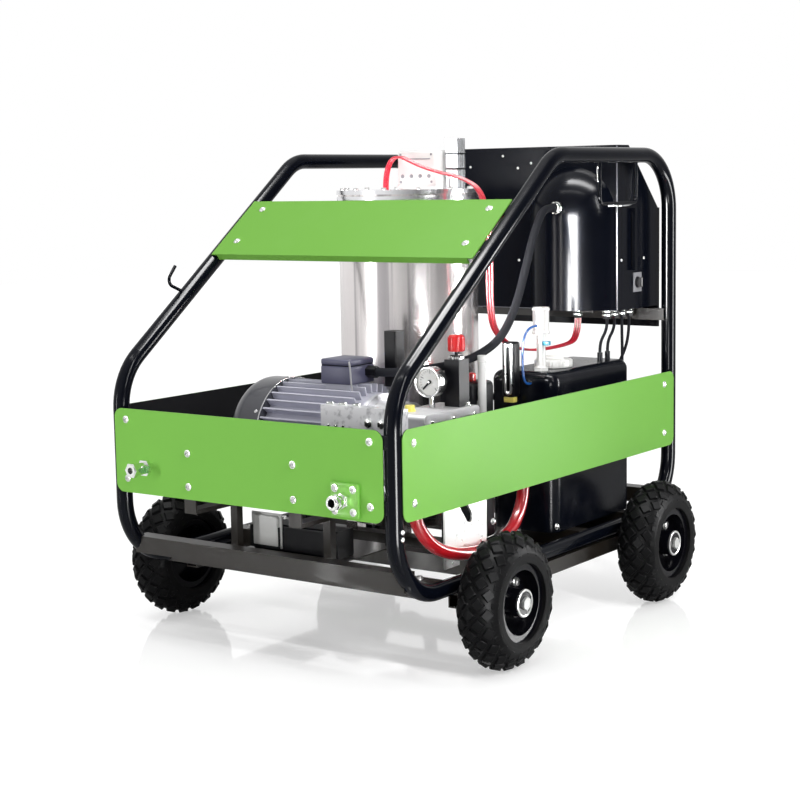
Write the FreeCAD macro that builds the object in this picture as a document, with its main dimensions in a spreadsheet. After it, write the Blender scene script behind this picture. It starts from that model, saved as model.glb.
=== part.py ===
import FreeCAD, Part, Sketcher
import math
import os
import re
from types import SimpleNamespace

from FreeCAD import Placement, Rotation, Vector

# Driving dimensions in millimetres. X runs to the machine's right, Y to its rear, Z up.
# Every "_y" place is measured from the centre line of the front tubes.
SIZES = {
    # Where the frame of the part lies
    "front_reach": 598.4,
    # Tubular side frames
    "tube_od": 38,
    "tube_wall": 2.5,
    "frame_width": 776,
    "frame_length": 1246,
    "frame_top_z": 1121.5,
    "sill_z": 189,
    "slope_foot_z": 630,
    "slope_top_y": 658,
    "sill_bend": 150,
    "slope_foot_bend": 150,
    "slope_top_bend": 120,
    "rear_top_bend": 140,
    "drain_hole": 6,
    "lug_thick": 5,
    "lug_high": 30,
    "weld_gap": 0.1,
    # Hooks
    "hose_hook_rod": 9,
    "hose_hook_low_z": 1003,
    "lance_hook_rod": 8,
    "lance_hook_foot_y": 222,
    "lance_hook_foot_z": 812,
    "lance_hook_bend_y": 164,
    "lance_hook_bend_z": 836,
    "lance_hook_tip_y": 197,
    "lance_hook_tip_z": 875,
    "hook_bend": 16,
    # Base
    "beam_side": 40,
    "beam_wall": 3,
    "floor_top_z": 210,
    "front_beam_y": 50,
    "motor_front_beam_y": 155,
    "motor_rear_beam_y": 390,
    "floor_sheet_front_y": 375,
    "floor_sheet_thick": 2,
    "boiler_front_beam_y": 520,
    "boiler_rear_beam_y": 790,
    "axle_rail_side": 34,
    "axle_rail_front_y": 220,
    "cabinet_rail_side": 30,
    "cabinet_arm_wide": 40,
    "cabinet_arm_thick": 6,
    # Sheet panels
    "panel_thick": 3,
    "panel_bottom_z": 365,
    "panel_height": 195,
    "panel_corner": 22,
    "side_panel_front_y": 3,
    "top_panel_start": 418,
    "top_panel_height": 208,
    "top_panel_lip": 14,
    # Bolts of the panels
    "bolt_hole": 8.6,
    "bolt_shank": 8,
    "bolt_head": 17,
    "bolt_head_high": 6,
    "bolt_nut_high": 6.5,
    "front_bolt_low_z": 398,
    "front_bolt_high_z": 535,
    "stay_left_x": -165,
    "stay_right_x": 138,
    "stay_bolt_low_z": 394,
    "stay_bolt_high_z": 470,
    "side_bolt_front_y": 42,
    "side_bolt_low_z": 402,
    "side_bolt_high_z": 529,
    "top_bolt_low": 468,
    "top_bolt_high": 592,
    # Wheels
    "wheel_od": 306,
    "tyre_width": 104,
    "tyre_wall": 9,
    "bead_width": 10,
    "bead_gap": 0.3,
    "rim_flange_od": 175,
    "rim_barrel_od": 150,
    "rim_width": 82,
    "rim_sheet": 3,
    "rim_bolts": 4,
    "rim_bolt_circle": 100,
    "rim_bolt": 8,
    "front_axle_y": 283,
    "hub_length": 98,
    "hub_od": 62,
    "hub_bore": 34,
    "bearing_od": 47,
    "bearing_width": 14,
    "axle_dia": 20,
    "axle_shoulder": 30,
    "axle_head": 34,
    "axle_head_thick": 10,
    "axle_nut": 30,
    "running_gap": 0.05,
    "side_gap": 0.3,
    # Motor
    "motor_y": 270,
    "motor_z": 480,
    "motor_left_x": -106,
    "motor_length": 265,
    "motor_core": 226,
    "motor_over_fins": 266,
    "motor_fins": 36,
    "motor_fin_thick": 4,
    "motor_bore": 160,
    "motor_end_wall": 14,
    "motor_foot_high": 138,
    "motor_foot_thick": 16,
    "motor_foot_wide": 44,
    "motor_foot_spread": 216,
    "motor_boss_top_z": 613,
    "shaft_dia": 38,
    "rotor_dia": 158,
    "coupling_dia": 80,
    "cowl_length": 100,
    "cowl_wall": 2,
    "cowl_overlap": 10,
    "cowl_slots": 24,
    "fan_dia": 220,
    "fan_width": 34,
    "fan_blades": 8,
    "terminal_box_x": 27,
    "terminal_box_y": 222,
    "terminal_box_long": 86,
    "terminal_box_deep": 90,
    "terminal_box_high": 42,
    "terminal_lid_high": 15,
    "terminal_box_wall": 3,
    # Stand under the motor
    "stand_left_x": -190,
    "stand_right_x": 163,
    "stand_leg": 20,
    "stand_leg_right_x": 85,
    "stand_top_thick": 10,
    "stand_tray_thick": 3,
    "stay_wide": 34,
    "stay_thick": 5,
    # Bell housing and pump
    "bell_od": 194,
    "bell_wall": 9,
    "bell_length": 76,
    "bell_flange": 226,
    "bell_flange_thick": 10,
    "pump_length": 100,
    "crankcase_deep": 220,
    "crankcase_front": 80,
    "crankcase_below": 85,
    "crankcase_above": 82,
    "crankcase_wall": 10,
    "crankcase_edge": 12,
    "crank_journal": 34,
    "crank_disc": 44,
    "crank_throw": 9,
    "crank_disc_wide": 16,
    "plunger_pitch": 26,
    "plunger_dia": 16,
    "plunger_gap": 0.1,
    "plunger_length": 100,
    "plunger_rear": 38,
    "head_side": 5,
    "head_deep": 80,
    "head_low_z": 430,
    "head_high": 90,
    "manifold_left_x": 118,
    "manifold_front_y": 104,
    "manifold_deep": 33,
    "manifold_high": 66,
    "valve_cap": 22,
    "valve_cap_high": 10,
    "suction_port_x": 332,
    "suction_port_y": 150,
    "suction_port_z": 395,
    "suction_block": 36,
    "bracket_thick": 5,
    "bracket_y": 257,
    "bracket_deep": 170,
    "bracket_top_z": 420,
    "bracket_notch_from": 88,
    "bracket_notch": 64,
    "bracket_slot_z": 330,
    "bracket_slot_long": 68,
    "bracket_slot_wide": 26,
    "unloader_x": 304,
    "unloader_y": 365,
    "unloader_block": 40,
    "unloader_block_high": 106,
    "unloader_body": 28,
    "unloader_top_z": 686,
    "unloader_stem": 8,
    "knob_dia": 39,
    "knob_high": 38,
    "gauge_x": 268,
    "gauge_y": 300,
    "gauge_z": 620,
    "gauge_dia": 68,
    "gauge_dial": 62,
    "gauge_deep": 28,
    "gauge_recess": 12,
    "gauge_stem": 14,
    "needle_long": 24,
    "needle_wide": 4,
    "needle_thick": 1.5,
    "needle_pin": 4,
    "pressure_switch_x": 136,
    "pressure_switch_y": 318,
    "pressure_switch_z": 602,
    "pressure_switch_wide": 34,
    "pressure_switch_deep": 36,
    "pressure_switch_high": 127,
    # Boiler
    "boiler_x": -37,
    "boiler_y": 666,
    "boiler_dia": 344,
    "boiler_wall": 3,
    "boiler_bottom_z": 230,
    "boiler_top_z": 1036,
    "boiler_leg": 34,
    "lid_dia": 352,
    "lid_thick": 10,
    "element_rod": 9,
    "element_gap": 36,
    "element_pitch": 34,
    "element_bottom_z": 330,
    "element_stub": 24,
    "cover_x": -35,
    "cover_y": 621,
    "cover_long": 113,
    "cover_deep": 110,
    "cover_high": 94,
    "cover_wall": 2.5,
    "vent_x": 107,
    "vent_y": 666,
    "vent_side": 34,
    "vent_high": 121,
    "vent_bore": 20,
    # Water tank
    "tank_front_y": 715,
    "tank_top_z": 601,
    "tank_wall": 4,
    "tank_corner": 30,
    "tank_rim_z": 526,
    "tank_rim_high": 16,
    "tank_rim_out": 5,
    "tank_outlet_y": 672,
    "tank_outlet_z": 400,
    "tank_outlet_low_z": 372,
    "tank_outlet_pipe": 36,
    "cap_y": 850,
    "cap_dia": 95,
    "cap_high": 14,
    "filler_dia": 80,
    "filler_bore": 72,
    "filler_high": 8,
    "probe_ahead": 38,
    "float_y": 766,
    "float_stem": 22,
    "float_valve_dia": 40,
    "float_stem_top_z": 690,
    "float_valve_top_z": 756,
    "float_pivot_z": 560,
    "float_arm_long": 150,
    "float_arm_rod": 6,
    "float_ball": 76,
    "float_pin": 6,
    "sight_y": 692,
    "sight_dia": 28,
    "sight_low_z": 540,
    "sight_high_z": 676,
    "sight_head": 36,
    "sight_head_high": 14,
    # Detergent tank
    "can_x": 192,
    "can_y": 450,
    "can_wide": 100,
    "can_deep": 95,
    "can_high": 392,
    "can_corner": 14,
    "can_cap": 46,
    "can_cap_high": 18,
    "pipe_x": 304,
    "pipe_y": 469,
    "pipe_dia": 20,
    "pipe_low_z": 527,
    "pipe_high_z": 667,
    # Control cabinet
    "cabinet_left_x": -115,
    "cabinet_bottom_z": 729,
    "cabinet_top_z": 1148,
    "cabinet_slope": 162,
    "bulge_od": 276,
    "bulge_axis": 58,
    "bulge_below": 3,
    "bulge_straight": 238,
    "cabinet_sheet": 2,
    "door_low_z": 672,
    "door_deep": 9,
    "door_sheet": 2,
    "hinge_pin": 6,
    "hinge_knuckle": 12,
    "hinge_long": 22,
    "hinge_low_z": 760,
    "hinge_high_z": 920,
    "latch_z": 860,
    "latch_head": 24,
    "latch_head_thick": 4.5,
    "latch_stem": 12,
    "latch_cam": 34,
    "switch_z": 797,
    "switch_knob": 27,
    "switch_knob_high": 14,
    "switch_stem": 8,
    "side_bar_z": 829,
    "side_bar_long": 159,
    "side_bar_wide": 9,
    "side_bar_out": 12,
    "contactor_wide": 45,
    "contactor_deep": 80,
    "contactor_high": 84,
    "contactor_z": 860,
    "contactor_x": -40,
    "contactor_pitch": 55,
    "contactors": 5,
    "gland_pitch": 40,
    "gland_dia": 22,
    "gland_high": 24,
    "conduit_gland": 28,
    "conduit_gland_high": 26,
    "conduit_gland_z": 993,
    "conduit_gland_rear": 54,
    "conduit_gland_front": 106,
    # Water inlet and outlet on the front
    "inlet_x": -295,
    "inlet_z": 427,
    "inlet_reach": 51,
    "inlet_body": 28,
    "inlet_bore": 15,
    "inlet_bore_deep": 30,
    "inlet_nut": 40,
    "inlet_nut_thick": 8,
    "inlet_tail": 40,
    "lever_wide": 16,
    "lever_thick": 5,
    "lever_stem": 8,
    "lever_y": -42,
    "outlet_x": 281,
    "outlet_z": 408,
    "outlet_reach": 53,
    "outlet_body": 26,
    "outlet_bore": 18,
    "outlet_bore_deep": 36,
    "outlet_hex": 36,
    "outlet_flange": 72,
    "outlet_flange_thick": 8,
    "outlet_bolt_pitch": 48,
    "outlet_tail": 40,
    # Flow switch in the stand
    "flow_switch_x": -168,
    "flow_switch_y": 200,
    "flow_switch_long": 250,
    "flow_switch_deep": 60,
    "flow_switch_high": 64,
    "flow_cover_long": 88,
    "flow_cover_high": 52,
    # Hoses and wires
    "suction_hose_dia": 30,
    "suction_hose_bore": 22,
    "conduit_dia": 20,
    "heater_wire_dia": 6,
    "heater_wire_pitch": 7,
    "heater_wires": 3,
    "sense_wire_dia": 4,
    "cable_dia": 8,
    "float_tube_dia": 6,
    "float_tube_top_z": 712,
    "float_tube_low_z": 574,
}

# Places and lengths that keep their distance from the rear tubes' line
BEHIND_REAR_TUBES = {
    "hose_hook_front_y": -370,
    "hose_hook_rear_y": -183,
    "rear_beam_y": -50,
    "tank_rear_beam_y": -196,
    "axle_rail_rear_y": -180,
    "side_bolt_rear_y": -68,
    "rear_axle_y": -243,
    "tank_rear_y": -137,
    "cabinet_front_y": -212,
    "cabinet_rear_y": 12,
    "switch_y": -104,
    "side_bar_y": -132,
    "gland_y": -174,
    "floor_sheet_rear_y": -141,
    "side_panel_length": -16,
}
# Places that keep their distance from the right tubes' line
BESIDE_RIGHT_TUBES = {
    "front_panel_right_x": -11,
    "front_bolt_right_x": -44,
    "top_bolt_x": -54,
    "tank_left_x": -223,
    "tank_right_x": -38,
    "tank_outlet_x": -98,
    "cap_x": -118,
    "float_x": -103,
    "sight_x": -148,
    "cabinet_right_x": -38,
    "latch_x": -66,
    "bulge_x": -168,
    "conduit_gland_x": -163,
    "gland_x": -88,
    "wire_gland_x": -174,
    "floor_sheet_left_x": -230,
    "floor_sheet_right_x": -33,
}
# Places that keep their distance from the left tubes' line
BESIDE_LEFT_TUBES = {
    "front_panel_left_x": -1,
    "front_bolt_left_x": 35,
    "top_panel_left_x": 5,
}
WHEELS_OUTSIDE_FRAME = 184
AXLE_ENDS_OUTSIDE_WHEELS = 112
for alias, distance in BEHIND_REAR_TUBES.items():
    SIZES[alias] = SIZES["frame_length"] + distance
for alias, distance in BESIDE_RIGHT_TUBES.items():
    SIZES[alias] = SIZES["frame_width"] / 2 + distance
for alias, distance in BESIDE_LEFT_TUBES.items():
    SIZES[alias] = distance - SIZES["frame_width"] / 2
SIZES["wheel_track"] = SIZES["frame_width"] + WHEELS_OUTSIDE_FRAME
SIZES["overall_width"] = SIZES["wheel_track"] + AXLE_ENDS_OUTSIDE_WHEELS

doc = FreeCAD.newDocument("PressureWasher")
sheet = doc.addObject("Spreadsheet::Sheet", "Sizes")
for row, (alias, value) in enumerate(SIZES.items(), start=1):
    sheet.set(f"A{row}", alias)
    sheet.set(f"B{row}", str(value))
    sheet.setAlias(f"B{row}", alias)
doc.recompute()
size = SimpleNamespace(**{alias: float(sheet.get(alias)) for alias in SIZES})

X_AXIS = Vector(1, 0, 0)
Y_AXIS = Vector(0, 1, 0)
Z_AXIS = Vector(0, 0, 1)
ALONG = {
    "x": Rotation(Y_AXIS, 90),
    "-x": Rotation(Y_AXIS, -90),
    "y": Rotation(X_AXIS, -90),
    "-y": Rotation(X_AXIS, 90),
    "z": Rotation(),
    "-z": Rotation(X_AXIS, 180),
}

# Places that several pieces share, as expressions over the sheet's cells
HALF = "frame_width / 2"
PANEL_TOP = "panel_bottom_z + panel_height"
MOTOR_RIGHT = "motor_left_x + motor_length"
PUMP_LEFT = "motor_left_x + motor_length + bell_length"
PUMP_RIGHT = "motor_left_x + motor_length + bell_length + pump_length"
CRANKCASE_FRONT = "motor_y - crankcase_front"
CRANKCASE_TOP = "motor_z + crankcase_above"
STAND_TOP = "motor_z - motor_foot_high"
LID_TOP = "boiler_top_z + lid_thick"
AXLE_Z = "wheel_od / 2"
PANEL_FACE = "-tube_od / 2 - panel_thick"
HINGE_X = "cabinet_left_x - hinge_knuckle / 2"
HINGE_Y = "cabinet_rear_y + door_deep / 2"
SLOPE = math.atan2(size.frame_top_z - size.slope_foot_z, size.slope_top_y)

PARTS = []


def linked(text):
    """An expression whose names of sizes point to the sheet's cells."""
    return re.sub(r"[a-z]\w*", lambda m: f"Sizes.{m[0]}" if m[0] in SIZES else m[0], str(text))


def bind(piece, **expressions):
    """Bind properties of a piece to expressions over the sheet."""
    for name, text in expressions.items():
        piece.setExpression(name, linked(text))


def place(piece, x, y, z, turn=None):
    """Put a piece at a place given by three expressions, y counted from the front tubes."""
    if turn is not None:
        piece.Placement = Placement(Vector(), turn)
    piece.setExpression("Placement.Base.x", linked(x))
    piece.setExpression("Placement.Base.y", linked(f"{y} - front_reach"))
    piece.setExpression("Placement.Base.z", linked(z))
    return piece


def at(x, y, z):
    """A point of the machine in the part's frame."""
    return Vector(x, y - size.front_reach, z)


def box(name, corner, sides):
    """A block from its lowest corner and its three sides."""
    piece = doc.addObject("Part::Box", name)
    bind(piece, Length=sides[0], Width=sides[1], Height=sides[2])
    return place(piece, *corner)


def rod(name, start, along, diameter, length):
    """A round bar that starts at a point and runs along an axis."""
    piece = doc.addObject("Part::Cylinder", name)
    bind(piece, Radius=f"({diameter}) / 2", Height=length)
    return place(piece, *start, turn=ALONG[along])


def hexagon(name, start, along, across, length):
    """A hexagonal bar, given by its width across the corners."""
    piece = doc.addObject("Part::Prism", name)
    piece.Polygon = 6
    bind(piece, Circumradius=f"({across}) / 2", Height=length)
    return place(piece, *start, turn=ALONG[along])


def ball(name, centre, diameter):
    """A ball."""
    piece = doc.addObject("Part::Sphere", name)
    bind(piece, Radius=f"({diameter}) / 2")
    return place(piece, *centre)


def fused(name, *pieces):
    """Several pieces joined into one."""
    piece = doc.addObject("Part::MultiFuse", name)
    piece.Shapes = list(pieces)
    piece.Refine = True
    return piece


def cut(name, base, *tools):
    """A piece with other pieces cut out of it."""
    tool = tools[0] if len(tools) == 1 else fused(name + "_tools", *tools)
    piece = doc.addObject("Part::Cut", name)
    piece.Base = base
    piece.Tool = tool
    return piece


def group(name, *pieces):
    """Separate solids kept together under one name."""
    piece = doc.addObject("Part::Compound", name)
    piece.Links = list(pieces)
    return piece


def rounded(name, base, radius, wanted):
    """A piece with the edges that a test picks rounded off."""
    doc.recompute()
    piece = doc.addObject("Part::Fillet", name)
    piece.Base = base
    value = float(radius)
    edges = enumerate(base.Shape.Edges, start=1)
    piece.Edges = [(index, value, value) for index, edge in edges if wanted(edge)]
    return piece


def runs_along(axis):
    """A test for straight edges along an axis."""
    def test(edge):
        ends = [vertex.Point for vertex in edge.Vertexes]
        straight = len(ends) == 2 and edge.Curve.TypeId == "Part::GeomLine"
        return straight and (ends[1] - ends[0]).normalize().cross(axis).Length < 1e-6
    return test


def solid(name, shape):
    """A piece whose shape is worked out in code from the sheet's sizes."""
    piece = doc.addObject("Part::Feature", name)
    piece.Shape = shape
    return piece


def keep(piece, label):
    """Count a finished sub-part in under its own label."""
    piece.Label = label
    PARTS.append(piece)
    return piece


def bent_wire(points, radii):
    """Straight runs joined by tangent arcs, one radius for each inner point."""
    edges = []
    start = points[0]
    for before, corner, after, radius in zip(points, points[1:], points[2:], radii):
        to_start = (before - corner).normalize()
        to_end = (after - corner).normalize()
        opening = to_start.getAngle(to_end)
        reach = radius / math.tan(opening / 2)
        middle = (to_start + to_end).normalize() * (radius / math.sin(opening / 2) - radius)
        arc_start = corner + to_start * reach
        arc_end = corner + to_end * reach
        edges.append(Part.LineSegment(start, arc_start).toShape())
        edges.append(Part.Arc(arc_start, corner + middle, arc_end).toShape())
        start = arc_end
    edges.append(Part.LineSegment(start, points[-1]).toShape())
    return Part.Wire(edges)


def swept(wire, diameter):
    """A round bar along a wire."""
    first = wire.Edges[0]
    direction = first.tangentAt(first.FirstParameter)
    start = first.valueAt(first.FirstParameter)
    ring = Part.Wire([Part.makeCircle(diameter / 2, start, direction)])
    return wire.makePipeShell([ring], True, False)


def bent_tube(points, radii, diameter, bore=0):
    """A bent bar, or a tube if it has a bore."""
    wire = bent_wire(points, radii)
    body = swept(wire, diameter)
    return body.cut(swept(wire, bore)) if bore else body


def cord_radii(points):
    """The largest arcs that the runs of a hose or wire leave room for."""
    radii = []
    for before, corner, after in zip(points, points[1:], points[2:]):
        turn = (corner - before).getAngle(after - corner)
        shorter = min((corner - before).Length, (after - corner).Length)
        radii.append(0.45 * shorter / math.tan(turn / 2))
    return radii


def cord(name, points, diameter, bore=0):
    """A hose or wire through chosen points, checked against its section and length."""
    radii = cord_radii(points)
    wire = bent_wire(points, radii)
    shape = swept(wire, diameter)
    share = shape.Volume / (math.pi * diameter ** 2 / 4 * wire.Length)
    print(f"{name}: length {wire.Length:.0f}, radii {[round(r) for r in radii]}, volume {share:.4f}")
    return shape.cut(swept(wire, bore)) if bore else shape


def routed(points, start, end):
    """A planned route drawn onto the two places that it joins, with the move shared out along it."""
    first = start - points[0]
    last = end - points[-1]
    steps = len(points) - 3
    drawn = []
    for index, point in enumerate(points):
        share = min(1, max(0, (index - 1) / steps))
        drawn.append(point + first * (1 - share) + last * share)
    return drawn


def sketch_on(body, plane):
    """A new sketch of a body on one of its own planes."""
    sketch = body.newObject("Sketcher::SketchObject", body.Name + "_sketch")
    feature = next(f for f in body.Origin.OriginFeatures if f.Role == plane)
    sketch.AttachmentSupport = [(feature, "")]
    sketch.MapMode = "FlatFace"
    return sketch


def draw_outline(sketch, points):
    """A closed outline of straight lines whose corners are bound to expressions."""
    corners = [Vector(float(x), float(y), 0) for (x, y), _ in points]
    first = sketch.GeometryCount
    for start, end in zip(corners, corners[1:] + corners[:1]):
        sketch.addGeometry(Part.LineSegment(start, end), False)
    for index, (_, texts) in enumerate(points):
        line = first + index
        following = first + (index + 1) % len(points)
        sketch.addConstraint(Sketcher.Constraint("Coincident", line, 2, following, 1))
        for kind, value, text in zip(("DistanceX", "DistanceY"), corners[index], texts):
            number = sketch.addConstraint(Sketcher.Constraint(kind, -1, 1, line, 1, value))
            sketch.setExpression(f"Constraints[{number}]", linked(text))


def hoop_solid(side, diameter):
    """The bent tube of one side frame, as thick as asked."""
    x = side * size.frame_width / 2
    length = size.frame_length
    top = size.frame_top_z
    sill_middle = at(x, length / 2, size.sill_z)
    top_middle = at(x, (size.slope_top_y + length) / 2, top)
    front = [sill_middle, at(x, 0, size.sill_z), at(x, 0, size.slope_foot_z)]
    front += [at(x, size.slope_top_y, top), top_middle]
    rear = [sill_middle, at(x, length, size.sill_z), at(x, length, top), top_middle]
    front_bends = [size.sill_bend, size.slope_foot_bend, size.slope_top_bend]
    rear_bends = [size.sill_bend, size.rear_top_bend]
    front_half = swept(bent_wire(front, front_bends), diameter)
    rear_half = swept(bent_wire(rear, rear_bends), diameter)
    return front_half.fuse(rear_half).removeSplitter()


def on_slope(x, along, out):
    """A point along the sloping tube and outward from its centre line."""
    y = along * math.cos(SLOPE) - out * math.sin(SLOPE)
    z = size.slope_foot_z + along * math.sin(SLOPE) + out * math.cos(SLOPE)
    return at(x, y, z)


def slope_block(x, along, out, sides):
    """A block that lies on the slope, from its lowest corner."""
    block = Part.makeBox(*sides)
    block.Placement = Placement(on_slope(x, along, out), Rotation(X_AXIS, math.degrees(SLOPE)))
    return block


def lug_block(x, y, z, sides):
    """A weld lug, from its lowest corner."""
    return Part.makeBox(*sides, at(x, y, z))


def drill(centre, direction, diameter=None, depth=30):
    """A drill through a lug, centred on a point."""
    radius = (diameter or size.bolt_hole) / 2
    return Part.makeCylinder(radius, depth, centre - direction * (depth / 2), direction)


def side_hoop(side, name):
    """One side frame with its weld lugs for the panels."""
    x = side * size.frame_width / 2
    surface = size.tube_od / 2
    high = size.lug_high
    body = hoop_solid(side, size.tube_od)
    lugs = []
    holes = []
    front_x = size.front_bolt_right_x if side > 0 else size.front_bolt_left_x
    inner = min(x, front_x - side * high / 2)
    span = abs(x - front_x) + high / 2
    for z in (size.front_bolt_low_z, size.front_bolt_high_z):
        lugs.append(lug_block(inner, -surface, z - high / 2, (span, size.lug_thick, high)))
        holes.append(drill(at(front_x, -surface, z), Y_AXIS))
    plate_x = x + surface - size.lug_thick if side > 0 else x - surface
    for z in (size.side_bolt_low_z, size.side_bolt_high_z):
        reach = size.side_bolt_front_y + high / 2
        lugs.append(lug_block(plate_x, 0, z - high / 2, (size.lug_thick, reach, high)))
        rear = size.side_bolt_rear_y
        reach = size.frame_length - rear + high / 2
        lugs.append(lug_block(plate_x, rear - high / 2, z - high / 2, (size.lug_thick, reach, high)))
        for y in (size.side_bolt_front_y, rear):
            holes.append(drill(at(x + side * surface, y, z), X_AXIS))
    inner = min(x, side * (size.top_bolt_x - high / 2))
    span = abs(x) - size.top_bolt_x + high / 2
    normal = on_slope(0, 0, 1) - on_slope(0, 0, 0)
    for along in (size.top_bolt_low, size.top_bolt_high):
        sides = (span, high, size.lug_thick)
        lugs.append(slope_block(inner, along - high / 2, surface - size.lug_thick, sides))
        holes.append(drill(on_slope(side * size.top_bolt_x, along, surface), normal))
    body = body.multiFuse(lugs).cut(Part.makeCompound(holes))
    bore = hoop_solid(side, size.tube_od - 2 * size.tube_wall)
    drain = drill(at(x, size.frame_length / 2, size.sill_z - surface), Z_AXIS, size.drain_hole, 10)
    return keep(solid(name + "_tube", body.cut(bore).cut(drain)), name)


def coped(name, piece):
    """A piece with its ends fitted to the two side frames."""
    width = size.tube_od + 2 * size.weld_gap
    frames = Part.makeCompound([hoop_solid(side, width) for side in (-1, 1)])
    return cut(name, piece, solid(name + "_frames", frames))


def hollow_beam(name, middle_y, low_z, side="beam_side"):
    """A square tube across the machine."""
    corner = (f"-({HALF})", f"{middle_y} - {side} / 2", low_z)
    outer = box(name + "_outer", corner, ("frame_width", side, side))
    inner_corner = (f"-({HALF})", f"{middle_y} - {side} / 2 + beam_wall", f"{low_z} + beam_wall")
    inner_side = f"{side} - 2 * beam_wall"
    inner = box(name + "_inner", inner_corner, ("frame_width", inner_side, inner_side))
    return cut(name, outer, inner)


def chassis_beams():
    """Cross beams between the side frames, the axle rails, the cabinet's rail and the floor sheet."""
    floor = "floor_top_z - beam_side"
    middles = ["motor_front_beam_y", "motor_rear_beam_y", "boiler_front_beam_y"]
    middles += ["boiler_rear_beam_y", "tank_rear_beam_y"]
    beams = [hollow_beam(f"floor_beam_{i}", y, floor) for i, y in enumerate(middles, start=1)]
    beams.append(hollow_beam("front_beam", "front_beam_y", "floor_top_z"))
    beams.append(hollow_beam("rear_beam", "rear_beam_y", "floor_top_z"))
    side = "cabinet_rail_side"
    rail_y = "frame_length - cabinet_rail_side / 2"
    rail_z = "cabinet_bottom_z - cabinet_arm_thick - cabinet_rail_side"
    rail = hollow_beam("cabinet_rail", rail_y, rail_z, side)
    arms = []
    for index, x in enumerate(("cabinet_left_x + 20", "cabinet_right_x - 110"), start=1):
        corner = (x, "cabinet_front_y", "cabinet_bottom_z - cabinet_arm_thick")
        length = "frame_length - cabinet_front_y"
        arms.append(box(f"cabinet_arm_{index}", corner, ("cabinet_arm_wide", length, "cabinet_arm_thick")))
    beams.append(fused("cabinet_support", rail, *arms))
    for side in (-1, 1):
        beams.append(axle_rail(side))
    corner = ("floor_sheet_left_x", "floor_sheet_front_y", f"{floor} - floor_sheet_thick")
    sides = ("floor_sheet_right_x - floor_sheet_left_x", "floor_sheet_rear_y - floor_sheet_front_y",
             "floor_sheet_thick")
    beams.append(box("floor_sheet", corner, sides))
    return keep(coped("coped_beams", group("all_beams", *beams)), "chassis_beams")


def axle_rail(side):
    """The square tube under a side frame that carries two stub axles."""
    name = "axle_rail_right" if side > 0 else "axle_rail_left"
    width = "axle_rail_side"
    low = "sill_z - tube_od / 2 - axle_rail_side"
    middle = f"{side} * {HALF}"
    length = "axle_rail_rear_y - axle_rail_front_y"
    corner = (f"{middle} - {width} / 2", "axle_rail_front_y", low)
    outer = box(name + "_outer", corner, (width, length, width))
    inner_corner = (f"{middle} - {width} / 2 + beam_wall", "axle_rail_front_y", f"{low} + beam_wall")
    inner = box(name + "_inner", inner_corner, (f"{width} - 2 * beam_wall", length, f"{width} - 2 * beam_wall"))
    holes = []
    for end in ("front", "rear"):
        start = (f"{middle} - {width}", f"{end}_axle_y", AXLE_Z)
        hole = rod(f"{name}_{end}_hole", start, "x", "axle_dia + 2 * running_gap", f"2 * {width}")
        holes.append(hole)
    return cut(name, outer, inner, *holes)


def stub_axles():
    """Four stub axles, each bolted through its rail, with its outer nut."""
    pieces = []
    for side in (-1, 1):
        along = "x" if side > 0 else "-x"
        for end in ("front", "rear"):
            name = f"axle_{'right' if side > 0 else 'left'}_{end}"
            y = f"{end}_axle_y"
            rail = f"{HALF} - axle_rail_side / 2"
            head = (f"{side} * ({rail} - axle_head_thick)", y, AXLE_Z)
            parts = [hexagon(name + "_head", head, along, "axle_head", "axle_head_thick")]
            length = f"overall_width / 2 - ({rail}) + 1"
            start = (f"{side} * ({rail} - 1)", y, AXLE_Z)
            parts.append(rod(name + "_shank", start, along, "axle_dia", length))
            shoulder = (f"{side} * ({HALF} + axle_rail_side / 2)", y, AXLE_Z)
            gap = f"(wheel_track - hub_length) / 2 - side_gap - ({HALF} + axle_rail_side / 2)"
            parts.append(rod(name + "_shoulder", shoulder, along, "axle_shoulder", gap))
            pieces.append(fused(name, *parts))
            nut_start = (f"{side} * ((wheel_track + hub_length) / 2 + side_gap)", y, AXLE_Z)
            thick = "overall_width / 2 - (wheel_track + hub_length) / 2 - side_gap"
            nut = hexagon(name + "_nut_body", nut_start, along, "axle_nut", thick)
            hole = rod(name + "_nut_hole", nut_start, along, "axle_dia + 2 * running_gap", thick)
            pieces.append(cut(name + "_nut", nut, hole))
    return keep(group("axles", *pieces), "stub_axles")


def revolved(profile, centre):
    """A profile of points and arcs, x across the wheel and y outward, turned about the axle."""
    face = Part.Face(profile)
    ring = face.revolve(Vector(), X_AXIS, 360)
    ring.translate(centre)
    return ring


def closed_profile(points):
    """A closed wire through points; a tuple of three stands for an arc."""
    edges = []
    last = points[0]
    for item in points[1:] + [points[0]]:
        if isinstance(item, tuple):
            edges.append(Part.Arc(last, item[0], item[1]).toShape())
            last = item[1]
        else:
            edges.append(Part.LineSegment(last, item).toShape())
            last = item
    return Part.Wire(edges)


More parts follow.
